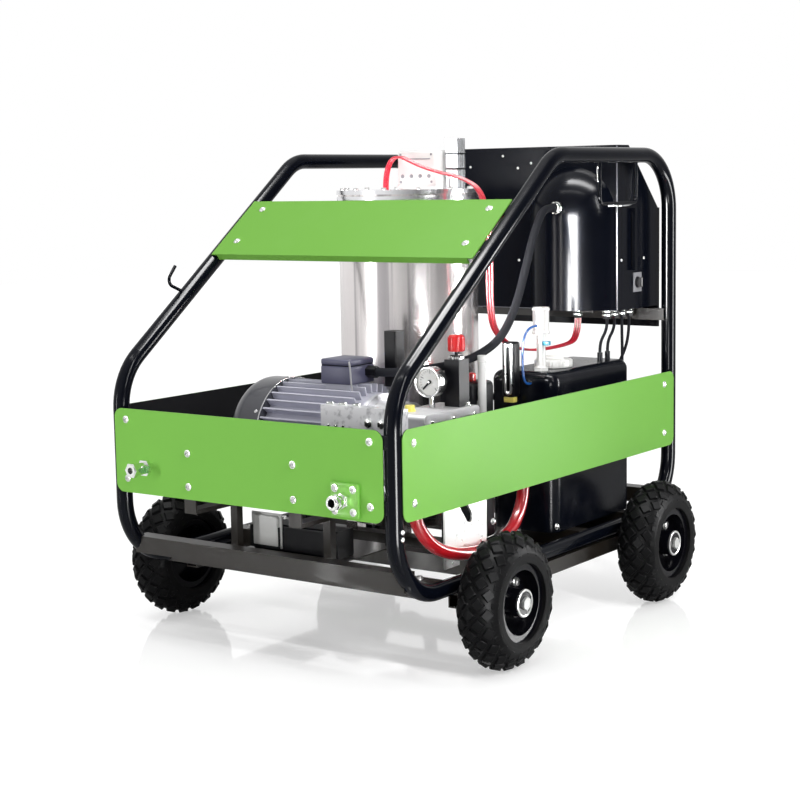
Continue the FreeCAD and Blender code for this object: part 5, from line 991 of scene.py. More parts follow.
@dataclass(frozen=True)
class Lamp:
    """A soft rectangular lamp that the camera doesn't see."""

    name: str
    eye: Point
    aim: Point
    size: tuple[float, float]
    power: float
    spread: float = 180.0
    glint: bool = False

    def build(self) -> None:
        """Hang the lamp; a glint shows in gloss only."""
        data = bpy.data.lights.new(self.name, "AREA")
        data.shape = "RECTANGLE"
        data.size, data.size_y = self.size
        data.energy = self.power
        data.spread = math.radians(self.spread)
        made = bpy.data.objects.new(self.name, data)
        bpy.context.collection.objects.link(made)
        made.location = self.eye
        made.rotation_euler = (Vector(self.aim) - Vector(self.eye)).to_track_quat("-Z", "Y").to_euler()
        made.visible_camera = False
        made.visible_diffuse = not self.glint


@dataclass
class Studio:
    """The camera that took the photograph, a pale floor and soft light."""

    eye: Point = at(2422.6, -2802.6, 1069.4)
    yaw: float = 35.71
    pitch: float = 7.36
    roll: float = -1.0
    focal_share: float = 1702.76 / 800
    sensor: float = 36.0
    floor_glow: float = 0.42
    lamps: Sequence[Lamp] = (
        Lamp("key", (3.4, -1.2, 2.6), (0.1, 0.0, 0.6), (0.08, 2.4), 90.0),
        Lamp("front strip", (-1.88, -3.21, 0.72), (0.2, 0.4, 0.85), (0.07, 1.1), 24.0),
        Lamp("drum glint", (0.302, -0.05, 0.83), (0.262, 0.36, 0.83), (0.18, 0.34), 9.0, 70.0, True),
        Lamp("slope glint", (0.55, -0.3, 3.6), (0.5, -0.3, 0.9), (0.5, 2.6), 270.0, glint=True),
        Lamp("hoop glint", (1.23, -0.89, 0.27), (0.388, -0.598, 0.42), (0.3, 0.5), 13.0, 120.0, True),
        Lamp("rear glint", (1.25, 0.84, 0.62), (0.388, 0.648, 0.7), (0.2, 0.9), 26.0, glint=True),
        Lamp("top strip", (0.0, -1.6, 3.6), (0.0, 0.1, 0.5), (3.0, 0.1), 24.0),
        Lamp("top", (0.0, 0.4, 4.0), (0.0, 0.1, 0.5), (3.0, 2.4), 16.0),
    )

    def camera(self) -> None:
        """Make the camera."""
        yaw, pitch, roll = (math.radians(v) for v in (self.yaw, self.pitch, self.roll))
        right = Vector((math.cos(yaw), math.sin(yaw), 0.0))
        ahead = Vector((-math.sin(yaw) * math.cos(pitch), math.cos(yaw) * math.cos(pitch),
                        -math.sin(pitch)))
        above = right.cross(ahead)
        side = math.cos(roll) * right + math.sin(roll) * above
        top = -math.sin(roll) * right + math.cos(roll) * above
        data = bpy.data.cameras.new("camera")
        data.sensor_width = self.sensor
        data.lens = self.sensor * self.focal_share
        data.clip_end = 50.0
        made = bpy.data.objects.new("camera", data)
        bpy.context.collection.objects.link(made)
        turn = Matrix((side, top, -ahead)).transposed()
        made.matrix_world = Matrix.Translation(self.eye) @ turn.to_4x4()
        bpy.context.scene.camera = made

    def floor(self) -> None:
        """Make the pale floor, which glows a little where the camera sees it."""
        Bench.pick()
        bpy.ops.mesh.primitive_plane_add(size=24.0, location=(0, 2.0, 0))
        made = bpy.context.object
        made.name = "floor"
        s = Shader("floor")
        camera_ray = s.node("ShaderNodeLightPath", {}, {})
        s.set(Base_Color=(0.86, 0.86, 0.86), Roughness=0.06, Specular_IOR_Level=0.6)
        s.set(Emission_Color=s.blend(camera_ray, (0.0, 0.0, 0.0), (1.0, 1.0, 1.0)))
        s.set(Emission_Strength=self.floor_glow)
        made.data.materials.append(s.material)

    def world(self) -> None:
        """Make a white surround that lights softly and, in gloss, darkens towards the right."""
        made = bpy.data.worlds.new("surround")
        bpy.context.scene.world = made
        made.use_nodes = True
        tree = Tree(made.node_tree, "ShaderNodeOutputWorld")
        camera_ray = tree.node("ShaderNodeLightPath", {}, {})
        glossy_ray = camera_ray.beside("Is Glossy Ray")
        seen = camera_ray.larger(camera_ray.beside("Is Transmission Ray")).larger(glossy_ray)
        strength = tree.node("ShaderNodeMapRange", {}, {"Value": seen, "To Min": 0.5, "To Max": 1.0})
        place = tree.node("ShaderNodeTexCoord", {}, {}, "Generated")
        across = tree.node("ShaderNodeSeparateXYZ", {}, [place], "X")
        shade = tree.node("ShaderNodeMapRange", {}, [across, 0.0, 0.8, 0.88, 0.16])
        tint = tree.blend(glossy_ray, (1.0, 1.0, 1.0), shade)
        back = tree.node("ShaderNodeBackground", {}, {"Color": tint, "Strength": strength})
        tree.feed(tree.output.inputs["Surface"], back)

    def build(self) -> None:
        """Make the camera, the floor and the lights."""
        self.camera()
        self.floor()
        self.world()
        for lamp in self.lamps:
            lamp.build()
        bpy.context.scene.view_settings.view_transform = "Standard"


@dataclass
class Wheels:
    """Four pneumatic wheels: knobby tyres, and the hub rings, bolts and valves of the rims."""

    track: float = 0.96
    radius: float = 0.153
    section: float = 0.052
    carcass_wide: float = 0.05
    carcass_high: float = 0.0462
    carcass_steps: int = 44
    rim_flange: float = 0.0884
    bead_half: float = 0.038
    rib_from: float = 74.0
    rib_to: float = 79.0
    rib: float = 0.0009
    bead_from: float = 97.0
    bead: float = 0.0012
    pitches: int = 20
    lug: float = 0.0245
    lug_high: float = 0.01
    lug_top: float = 0.84
    lug_bevel: float = 0.0011
    lug_turn: float = 45.0
    lug_sunk: float = 0.0003
    shoulder_wide: float = 0.024
    shoulder_long: float = 0.015
    shoulder_sunk: float = 0.0019
    diamond_columns: Sequence[tuple[float, float]] = (
        (0, 0.0), (24.5, 0.5), (-24.5, 0.5), (49, 0.0), (-49, 0.0))
    shoulder_columns: Sequence[tuple[float, float]] = ((71, 0.5), (-71, 0.5))
    hub_end: float = 0.049
    hub_profile: Profile = (
        (0.0262, -0.0005), (0.0262, 0.0012), (0.0275, 0.0022), (0.0298, 0.0022), (0.0312, 0.0008),
        (0.0312, -0.0035), (0.0309, -0.0035), (0.0309, -0.0005))
    bolt_circle: float = 0.05
    bolt: Sequence[Row] = (
        (Head(0.0104, 0.0016, 28, 0.0003, 1), [(0.0029, 0, 0)], Axis.X),
        (Head(0.0096, 0.0056, 6, 0.0007), [(0.0044, 0, 0)], Axis.X),
        (Head(0.0034, 0.0016, 20, 0.0004, 1), [(0.0095, 0, 0)], Axis.X))
    valve_turn: float = 10.0
    valve_circle: float = 0.066
    valve_profile: Profile = (
        (0, 0.002), (0.0052, 0.002), (0.0046, 0.012), (0.0034, 0.015), (0.0034, 0.021),
        (0.0039, 0.0212), (0.0039, 0.028), (0.003, 0.0292), (0, 0.0292))
    axles: Sequence[tuple[str, float]] = (("front", 283.0), ("rear", 1003.0))

    @property
    def ring(self) -> float:
        """The radius of the circle that the tyre's section runs round."""
        return self.radius - self.section

    def carcass(self) -> Piece:
        """Turn the tyre without its tread, around the X axis at the origin.

        Returns:
            The carcass.
        """
        last = math.acos((self.rim_flange - self.ring) / self.carcass_high)
        profile = []
        for index in range(self.carcass_steps + 1):
            angle = last * (2 * index / self.carcass_steps - 1)
            lift = 0.0
            if self.rib_from < math.degrees(abs(angle)) < self.rib_to:
                lift = self.rib
            if math.degrees(abs(angle)) > self.bead_from:
                lift = self.bead
            profile.append((self.ring + (self.carcass_high + lift) * math.cos(angle),
                            (self.carcass_wide + lift) * math.sin(angle)))
        profile += [(self.rim_flange, self.bead_half), (self.rim_flange, -self.bead_half)]
        return Bench.turned(profile, ORIGIN, Axis.X, 90, closed=True)

    def column(self, wide: float, long: float, sunk: float, spin: float,
               columns: Sequence[tuple[float, float]]) -> list[Piece]:
        """Set tread blocks, smaller at the top than at the foot, in columns round the tyre.

        Args:
            wide: A block's width.
            long: A block's length.
            sunk: How far its top lies under the tyre's section.
            spin: How far it is turned on its foot, in degrees.
            columns: The tilt of each column from the middle, and its offset along the tread.

        Returns:
            The blocks.
        """
        half = (wide / 2, long / 2, self.lug_high / 2)
        block = Bench.block(tuple(-v for v in half), half)
        for vertex in block.data.vertices:
            if vertex.co.z > 0:
                vertex.co.x *= self.lug_top
                vertex.co.y *= self.lug_top
        Bench.soften(block, self.lug_bevel, 1)
        out = shifted((0, 0, self.section - self.lug_high / 2 - sunk))
        moves = []
        for tilt, offset in columns:
            local = shifted((0, 0, self.ring)) @ about("Y", tilt) @ out @ about("Z", spin)
            moves += [about("X", (index + offset) * 360 / self.pitches) @ local
                      for index in range(self.pitches)]
        return Bench.repeated(block, moves)

    def tyre(self) -> Piece:
        """Make the whole tyre around the X axis at the origin.

        Returns:
            The tyre.
        """
        made = Bench.joined([
            self.carcass(),
            *self.column(self.lug, self.lug, self.lug_sunk, self.lug_turn, self.diamond_columns),
            *self.column(self.shoulder_wide, self.shoulder_long, self.shoulder_sunk, 0,
                         self.shoulder_columns)])
        Bench.smooth(made, 34)
        return made

    def bolts(self) -> Piece:
        """Make the four rim bolts, each a head on its washer with the shank's end, facing +X.

        Returns:
            The bolts.
        """
        moves = [about("X", 45 + 90 * i) @ shifted((0, 0, self.bolt_circle)) for i in range(4)]
        return Bench.joined(Bench.repeated(Bench.joined(set_heads(self.bolt)), moves))

    def build(self) -> None:
        """Make the four wheels from one tyre and one set of trim."""
        tyre, bolts = self.tyre(), self.bolts()
        profile = [(radius, self.hub_end + along) for radius, along in self.hub_profile]
        ring = Bench.turned(profile, ORIGIN, Axis.X, 48, closed=True)
        valve = Bench.turned(self.valve_profile, ORIGIN, Axis.X, 20)
        valve.data.transform(about("X", self.valve_turn) @ shifted((0, 0, self.valve_circle)))
        for side, side_name in ((1, "right"), (-1, "left")):
            for end, y in self.axles:
                name = f"{end}_{side_name}"
                centre = shifted(at(side * self.track * 500, y, self.radius * 1000))
                move = centre @ about("Z", 0 if side > 0 else 180)
                for model, piece, finish, slot, nodes in (
                        (tyre, f"tyre_{name}_knobby", TYRE_RUBBER, "tyre", [f"tyre_{name}"]),
                        (ring, f"hub_ring_{name}", ZINC, "zinc", []),
                        (bolts, f"rim_bolts_{name}", ZINC, "zinc", []),
                        (valve, f"valve_{name}", BLACK_RUBBER, "tyre", [])):
                    copy = Bench.copied(model, move)
                    Bench.dressed([copy], piece, finish, slot, nodes, f"wheel_{name}")
        for model in (tyre, ring, bolts, valve):
            bpy.data.objects.remove(model)


@dataclass
class PanelBolts:
    """The domed bolts of the panels, the stays and the outlet, with washers and nuts."""

    washer: float = 0.0085
    dome: float = 0.0072
    shank: float = 0.0039
    socket: Head = Head(0.0027, 0.004, 6, 0.0)
    socket_foot: Point = (0, 0, 0.0032)
    nut: Head = Head(0.0082, 0.006, 6, 0.0006, 1)
    nut_high: float = 0.0062
    shank_end: float = 0.0064
    panel_grip: float = 0.008
    flange_grip: float = 0.011
    face_y: float = -22.0
    side_x: float = 410.0
    corner_x: tuple[float, float] = (-353, 344)
    corner_z: tuple[float, float] = (398, 535)
    stay_x: tuple[float, float] = (-165, 138)
    stay_z: tuple[float, float] = (394, 470)
    side_y: tuple[float, float] = (42, 1178)
    side_z: tuple[float, float] = (402, 529)
    slope_foot: float = 630.0
    slope_top: float = 1121.5
    slope_run: float = 658.0
    top_x: float = 334.0
    top_along: tuple[float, float] = (468, 592)
    top_out: float = 22.0
    outlet: tuple[float, float] = (281, 408)
    outlet_face_y: float = -30.0
    outlet_pitch: float = 24.0

    def bolt(self, grip: float, places: Iterable[Point], direction: Point) -> list[Piece]:
        """Set a bolt, its head's foot on the face, at each of several places.

        Args:
            grip: The thickness that it clamps, in metres.
            places: Where the heads rest.
            direction: The way that they point.

        Returns:
            The bolts.
        """
        low = -grip - self.shank_end
        profile = [(0, 0.0058), (0.0028, 0.0058), (0.0031, 0.0056), (0.0047, 0.0049), (0.0062, 0.0036),
                   (self.dome, 0.0016), (self.washer, 0.0015), (self.washer, 0.0), (self.shank, 0.0),
                   (self.shank, low), (0, low)]
        head = Bench.turned(profile, ORIGIN, Axis.Z, 28)
        head = Bench.carved(head, Bench.joined(self.socket.on([self.socket_foot])))
        bolt = Bench.joined([head, *self.nut.on([(0, 0, -grip - self.nut_high)])])
        turn = Vector(direction).to_track_quat("Z", "Y").to_matrix().to_4x4()
        return Bench.repeated(bolt, [shifted(place) @ turn for place in places])

    def build(self) -> None:
        """Make all the bolts as one piece."""
        front = (0.0, -1.0, 0.0)
        flat = grid(self.corner_x, [self.face_y], self.corner_z)
        flat += grid(self.stay_x, [self.face_y], self.stay_z)
        pieces = self.bolt(self.panel_grip, flat, front)
        slope = math.atan2(self.slope_top - self.slope_foot, self.slope_run)
        out = (0.0, -math.sin(slope), math.cos(slope))
        for side in (-1.0, 1.0):
            places = grid([side * self.side_x], self.side_y, self.side_z)
            pieces += self.bolt(self.panel_grip, places, (side, 0.0, 0.0))
            places = [at(side * self.top_x, along * math.cos(slope) + self.top_out * out[1],
                         self.slope_foot + along * math.sin(slope) + self.top_out * out[2])
                      for along in self.top_along]
            pieces += self.bolt(self.panel_grip, places, out)
        x, z = self.outlet
        pitch = self.outlet_pitch
        flange = grid((x - pitch, x + pitch), [self.outlet_face_y], (z - pitch, z + pitch))
        made = Bench.joined(pieces + self.bolt(self.flange_grip, flange, front))
        Bench.smooth(made)
        Bench.dressed([made], "panel_bolts_domed", ZINC, "zinc", ["panel_bolts"])


@dataclass
class Motor:
    """The trim of the motor: a domed cowl with its grille, the terminal box and the foot bolts."""

    axis_y: float = 270.0
    axis_z: float = 480.0
    left: float = -196.0
    right: float = -96.0
    outer: float = 0.1353
    wall: float = 0.002
    slot: tuple[Point, Point] = ((-0.01, -0.0019, 0.052), (0.02, 0.0019, 0.096))
    slots: int = 30
    edge_inset: float = 3.2
    edge_high: float = 0.0012
    screw_inset: float = 14.0
    screw: Head = Head(0.0046, 0.0024, 20, 0.0009)
    screw_turns: tuple[float, float, float] = (-60, 0, 60)
    box_low: Point = at(27, 222, 613)
    box_high: Point = at(113, 312, 670)
    lid_foot: float = 0.042
    lid_screw: Head = Head(0.0038, 0.0012, 20, 0.0005)
    lid_screw_inset: float = 0.009
    foot_x: tuple[float, float] = (-68, 121)
    foot_y: tuple[float, float] = (axis_y - 98, axis_y + 98)
    foot_bolts: Sequence[Row] = (
        (Head(0.011, 0.0018, 28, 0.0004, 1), grid(foot_x, foot_y, [358]), Axis.Z),
        (Head(0.0098, 0.0068, 6, 0.0008), grid(foot_x, foot_y, [359.6]), Axis.Z))
    earth_radius: float = 0.0021
    earth: Sequence[Point] = (
        (110, 220.5, 666), (113, 218.5, 660), (115.5, 218, 645), (116.5, 218, 622),
        (119, 218, 604), (119, 221, 588))

    def cowl(self) -> None:
        """Turn the domed cowl over the fan, close its wall and slot its end."""
        length = (self.right - self.left) / 1000
        outer, wall = self.outer, self.wall
        profile = [(outer, length), (outer + 0.0001, length - 0.004), (outer, 0.042), (outer - 0.002, 0.031),
                   (outer - 0.0075, 0.019), (outer - 0.016, 0.009), (outer - 0.027, 0.0028),
                   (outer - 0.04, 0.0), (0.046, 0.0), (0.04, 0.003), (0.0, 0.003)]
        inner = [(0.0, 0.005), (0.041, 0.005), (0.047, wall), (outer - 0.041, wall),
                 (outer - 0.029, 0.0048), (outer - 0.018, 0.011), (outer - 0.0095, 0.0206),
                 (outer - 0.0042, 0.0318), (outer - wall, 0.0425), (outer - wall, length)]
        shell = Bench.turned(profile + inner, ORIGIN, Axis.X, 72)
        Bench.pick(shell)
        bpy.ops.object.mode_set(mode="EDIT")
        bpy.ops.mesh.select_all(action="DESELECT")
        bpy.ops.mesh.select_non_manifold(extend=False)
        bpy.ops.mesh.bridge_edge_loops()
        bpy.ops.mesh.select_all(action="SELECT")
        bpy.ops.mesh.normals_make_consistent(inside=False)
        bpy.ops.object.mode_set(mode="OBJECT")
        cutters = Bench.repeated(Bench.block(*self.slot), around(ORIGIN, "X", self.slots))
        shell = Bench.carved(shell, Bench.joined(cutters))
        shell.data.transform(shifted(at(self.left, self.axis_y, self.axis_z)))
        Bench.smooth(shell, 30)
        Bench.dressed([shell], "fan_cowl_domed", COWL_PAINT, "motor_paint", ["fan_cowl"])

    def rolled_edge(self) -> None:
        """Make the bright rolled edge of the cowl and its three screws."""
        low, high = self.outer - 0.0001, self.outer + self.edge_high
        edge = [(low, 0), (high, 0.0004), (high, 0.0026), (low, 0.003)]
        foot = at(self.right - self.edge_inset, self.axis_y, self.axis_z)
        ring = Bench.turned(edge, foot, Axis.X, 72, closed=True)
        screw = Bench.joined(self.screw.on([(0, 0, self.outer - 0.0004)]))
        centre = shifted(at(self.right - self.screw_inset, self.axis_y, self.axis_z))
        screws = Bench.repeated(screw, [centre @ about("X", turn) for turn in self.screw_turns])
        Bench.dressed([ring, *screws], "cowl_edge_and_screws", STEEL, "zinc")

    def terminal_box(self) -> None:
        """Make the connection box with its lid, gasket and four screws."""
        low, high = Vector(self.box_low), Vector(self.box_high)
        seam = low.z + self.lid_foot
        base = Bench.block(low, (high.x, high.y, seam - 0.0008), 0.0035, 3)
        lid = Bench.block((low.x, low.y, seam + 0.0006), high, 0.0045, 3)
        gasket = Bench.block((low.x + 0.002, low.y + 0.002, seam - 0.0014),
                             (high.x - 0.002, high.y - 0.002, seam + 0.0014))
        Bench.dressed([base, lid], "terminal_box_cast", BOX_PAINT, "motor_paint", ["motor_terminal_box"])
        Bench.dressed([gasket], "terminal_box_gasket", BLACK_RUBBER, "black_rubber")
        inset = self.lid_screw_inset
        places = [(x, y, high.z - 0.0012) for x in (low.x + inset, high.x - inset)
                  for y in (low.y + inset, high.y - inset)]
        Bench.dressed(self.lid_screw.on(places), "terminal_box_screws", ZINC, "zinc")

    def build(self) -> None:
        """Make all the motor's trim, with its foot bolts and the pale earth wire on the box's corner."""
        self.cowl()
        self.rolled_edge()
        self.terminal_box()
        Bench.dressed(set_heads(self.foot_bolts), "motor_foot_bolts", ZINC, "zinc")
        wire = Bench.wire(self.earth, self.earth_radius)
        Bench.dressed([wire], "motor_earth_wire", GREY_WIRE, "white_plastic")


@dataclass
class FlowSwitchCover:
    """The white cover on the control box in the stand, with its flange and screws."""

    low: Point = at(-170.4, 190.6, 220)
    high: Point = at(-78.6, 200, 303)
    flange: float = 0.0042
    inset_x: float = 0.008
    inset_z: float = 0.005
    screw: Head = Head(0.0026, 0.0014, 16, 0.0005, 1)
    screw_x: float = 0.0042
    screw_z: float = 0.006
    screw_out: float = 0.0054

    def build(self) -> None:
        """Make the cover and its screws."""
        low, high = Vector(self.low), Vector(self.high)
        back = Bench.block((low.x, high.y - self.flange, low.z), high, 0.0018, 2)
        front = Bench.block((low.x + self.inset_x, low.y, low.z + self.inset_z),
                            (high.x - self.inset_x, high.y - 0.003, high.z - self.inset_z), 0.0035, 3)
        Bench.dressed([back, front], "control_box_cover_white", WHITE_PLASTIC, "white_plastic")
        places = [(x, high.y - self.screw_out, z) for x in (low.x + self.screw_x, high.x - self.screw_x)
                  for z in (low.z + self.screw_z, high.z - self.screw_z)]
        Bench.dressed(self.screw.on(places, Axis.Y), "control_box_screws", ZINC, "zinc")


@dataclass
class Outlet:
    """The pressure outlet: a nickel coupling through a green flange block."""

    x: float = 281.0
    front: float = -75.0
    z: float = 408.0
    coupling: Profile = (
        (0, 0.036), (0.009, 0.036), (0.009, 0.0012), (0.01, 0), (0.0122, 0), (0.013, 0.001),
        (0.013, 0.003), (0.0158, 0.0036), (0.0165, 0.005), (0.0165, 0.009), (0.0152, 0.0102),
        (0.0152, 0.0122), (0.0165, 0.0134), (0.0165, 0.0215), (0.0155, 0.023), (0.013, 0.0236),
        (0.013, 0.096), (0, 0.096))
    collar: Head = Head(0.018, 0.0138, 6, 0.0012)
    collar_front: float = -43.0
    nut: Head = Head(0.018, 0.007, 6, 0.0008, 1)
    nut_front: float = -19.0
    seal: Profile = (
        (0.0084, 0.002), (0.0088, 0.002), (0.0088, 0.0355), (0.0, 0.0355), (0.0, 0.0345),
        (0.0084, 0.0345))
    flange_half: float = 36.0
    flange_front: float = -30.0
    flange_back: float = -22.0
    flange_bevel: float = 0.0014
    hole: Head = Head(0.0045, 0.03, 24, 0.0)
    hole_front: float = -40.0
    hole_pitch: float = 24.0

    def build(self) -> None:
        """Make the coupling, its seal and the flange block."""
        x, z, half, pitch = self.x, self.z, self.flange_half, self.hole_pitch
        mouth = at(x, self.front, z)
        pieces = [Bench.turned(self.coupling, mouth, Axis.Y, 48),
                  *self.collar.on([at(x, self.collar_front, z)], Axis.Y),
                  *self.nut.on([at(x, self.nut_front, z)], Axis.Y)]
        Bench.dressed(pieces, "outlet_coupling_nickel", NICKEL, "zinc", ["outlet_coupler"])
        seal = Bench.turned(self.seal, mouth, Axis.Y, 40)
        Bench.dressed([seal], "outlet_seal_black", BLACK_RUBBER, "black_rubber")
        flange = Box((x - half, self.flange_front, z - half), (x + half, self.flange_back, z + half)).made()
        places = grid((x - pitch, x + pitch), [self.hole_front], (z - pitch, z + pitch))
        flange = Bench.carved(flange, Bench.joined(self.hole.on(places, Axis.Y)))
        Bench.soften(flange, self.flange_bevel)
        Bench.dressed([flange], "outlet_flange_green", FLANGE_GREEN, "green_paint")


@dataclass
class Pump:
    """The trim of the pump: gauge dial, knob, plugs, caps and cover bolts."""

    gauge: Point = (268.0, 300.0, 620.0)
    dial_deep: float = 10.8
    dial_plate: Head = Head(0.0308, 0.0011, 56, 0.0002, 1)
    bezel: Profile = (
        (0.0312, 0.0), (0.0322, -0.0012), (0.0338, -0.0012), (0.0346, 0.0), (0.0346, 0.006),
        (0.0342, 0.0065), (0.0341, 0.0005), (0.0312, 0.0005))
    ticks: int = 21
    tick_step: float = 13.5
    tick_first: float = -135.0
    tick_end: float = 0.0275
    tick_front: float = 0.0104
    tick_back: float = 0.0109
    short_tick: tuple[float, float] = (0.005, 0.0004)
    long_tick: tuple[float, float] = (0.0085, 0.0007)
    long_every: int = 5
    knob: Point = (304.0, 365.0, 686.0)
    grip: Profile = (
        (0.0062, 0.0), (0.0172, 0.0), (0.0184, 0.0012), (0.0184, 0.032), (0.0168, 0.0352),
        (0.0135, 0.0372), (0.008, 0.038), (0.0, 0.038), (0.0, 0.0175), (0.0062, 0.0175))
    ribs: Ribs = Ribs((0.0178, -0.0011, 0.0012), (0.0195, 0.0011, 0.0315), 0.0005, 24)
    nut: Head = Head(0.0185, 0.0075, 6, 0.0012)
    nut_foot: float = 667.4
    plugs: Sequence[Row] = (
        (Head(0.011, 0.005, 6, 0.0008), grid((250, 285, 320), [104.2], [551]), Axis.MINUS_Y),
        (Head(0.0095, 0.006, 6, 0.0008), grid((133, 168, 205), [120], [583.6]), Axis.Z),
        (Head(0.0035, 0.0022, 20, 0.0006), grid((140, 160, 180), [104.2], [540]), Axis.MINUS_Y),
        (Head(0.0115, 0.0035, 28, 0.0006), [at(270, 388, 561.6), at(320, 378, 561.6)], Axis.Z),
        (Head(0.0095, 0.006, 6, 0.0009), [at(270, 388, 564.6), at(320, 378, 564.6)], Axis.Z),
        (Head(0.0072, 0.0046, 6, 0.0007), grid([334.6], (216, 300, 384), (415, 542)), Axis.X))
    oil_cap: Sequence[Row] = (
        (Head(0.0135, 0.004, 32, 0.0008), [at(262, 240, 561.6)], Axis.Z),
        (Head(0.0118, 0.011, 8, 0.0018, 3), [at(262, 240, 565)], Axis.Z))

    def dial(self) -> None:
        """Make the white dial with its ticks and its bright bezel."""
        x, y, z = self.gauge
        plate = self.dial_plate.on([at(x, y + self.dial_deep, z)], Axis.Y)
        Bench.dressed(plate, "gauge_dial_white", DIAL_WHITE, "white_plastic")
        ticks = []
        for index in range(self.ticks):
            deep, wide = self.short_tick if index % self.long_every else self.long_tick
            tick = Bench.block((-wide, self.tick_front, self.tick_end - deep),
                               (wide, self.tick_back, self.tick_end))
            tick.data.transform(shifted(at(x, y, z)) @ about("Y", self.tick_step * index + self.tick_first))
            ticks.append(tick)
        Bench.dressed(ticks, "gauge_ticks", BLACK_PLASTIC, "black_plastic")
        bezel = Bench.turned(self.bezel, at(x, y, z), Axis.Y, 56, closed=True)
        Bench.dressed([bezel], "gauge_bezel", STEEL, "zinc")

    def ribbed_knob(self) -> None:
        """Make the ribbed red knob of the pressure control valve and the steel nut under it."""
        x, y, _ = self.knob
        centre = at(*self.knob)
        body = Bench.turned(self.grip, centre, Axis.Z, 48, closed=True)
        made = Bench.joined([body, *self.ribs.round(centre)])
        Bench.smooth(made)
        Bench.dressed([made], "unloader_knob_ribbed", RED_PLASTIC, "red_plastic", ["unloader_knob"], "knob")
        Bench.dressed(self.nut.on([at(x, y, self.nut_foot)]), "unloader_nut", STEEL, "zinc")

    def build(self) -> None:
        """Make the dial, the knob, the bright plugs and screws, and the yellow oil cap."""
        self.dial()
        self.ribbed_knob()
        Bench.dressed(set_heads(self.plugs), "pump_plugs_and_screws", NICKEL, "zinc")
        Bench.dressed(set_heads(self.oil_cap), "oil_cap_yellow", YELLOW_PLASTIC, "white_plastic")


@dataclass
class Boiler:
    """The trim of the boiler: bands, lid bolts, the cover's terminals and the post's grooves, painted black
    as shade.
    """

    x: float = -37.0
    y: float = 666.0
    radius: float = 0.172
    band: Profile = (
        (-0.0006, 0.0), (0.0012, 0.0007), (0.0016, 0.008), (0.0012, 0.0153), (-0.0006, 0.016))
    band_feet: tuple[float, float] = (247, 1016)
    clamp: Box = Box((x - 175, y - 60, 2), (x - 164, y - 38, 14), 0.0012)  # above the band's foot
    bolt_circle: float = 162.0
    lid_bolts: int = 12
    first_bolt: float = 15.0
    lid_washer: Head = Head(0.0072, 0.0016, 24, 0.0004, 1)
    lid_washer_foot: float = 1045.6
    lid_head: Head = Head(0.0062, 0.005, 6, 0.0008)
    lid_head_foot: float = 1047.0
    cover_body: Box = Box((-35, 621, 1046), (78, 731, 1140), 0.007, 3)
    cover_foot: Box = Box((-35.4, 620.6, 1046.2), (78.4, 731.4, 1058), 0.0025)
    cover_seam: Box = Box((-20, 619.8, 1118), (64, 621.4, 1121), 0.0004, 1)
    terminals: Sequence[Row] = (
        (Head(0.0046, 0.0026, 24, 0.0008), grid((-18, 8, 34, 60), [621.2], [1078]), Axis.MINUS_Y),
        (Head(0.003, 0.0018, 20, 0.0006), grid((-24, 67), [621.2], (1064, 1130)), Axis.MINUS_Y))
    post_x: float = 107.0
    post_half: float = 17.3
    groove_feet: tuple[float, float] = (1092, 1128)
    groove_high: float = 4.0

    def bands(self) -> None:
        """Make the rolled bands round the jacket, each with its clamp."""
        profile = [(self.radius + out, along) for out, along in self.band]
        pieces = []
        for foot in self.band_feet:
            pieces.append(Bench.turned(profile, at(self.x, self.y, foot), Axis.Z, 120, closed=True))
            pieces += Bench.repeated(self.clamp.made(), [shifted((0, 0, foot / 1000))])
        Bench.dressed(pieces, "jacket_bands", LID_STEEL, "stainless")

    def bolts(self) -> None:
        """Make the bolts of the lid, each on its washer."""
        turns = [math.radians(self.first_bolt + 360 * i / self.lid_bolts) for i in range(self.lid_bolts)]
        circle = [(self.x + self.bolt_circle * math.cos(turn), self.y + self.bolt_circle * math.sin(turn))
                  for turn in turns]
        heads = self.lid_washer.on(at(x, y, self.lid_washer_foot) for x, y in circle)
        heads += self.lid_head.on(at(x, y, self.lid_head_foot) for x, y in circle)
        Bench.dressed(heads, "lid_bolts", ZINC, "zinc")

    def build(self) -> None:
        """Make all the boiler's trim."""
        self.bands()
        self.bolts()
        Bench.dressed([self.cover_body.made(), self.cover_foot.made()], "terminal_cover_white",
                      WHITE_PLASTIC, "white_plastic", ["terminal_cover"])
        Bench.dressed([self.cover_seam.made(), *set_heads(self.terminals)], "terminal_cover_screws",
                      SWITCH_GREY, "zinc")
        # painted shade: flush black bands stand for the shade in the post's grooves
        x, y, half, high = self.post_x, self.y, self.post_half, self.groove_high
        grooves = [Box((x - half, y - half, foot), (x + half, y + half, foot + high), 0.0004, 1).made()
                   for foot in self.groove_feet]
        Bench.dressed(grooves, "vent_post_groove_shade", BLACK_PLASTIC, "black_plastic")


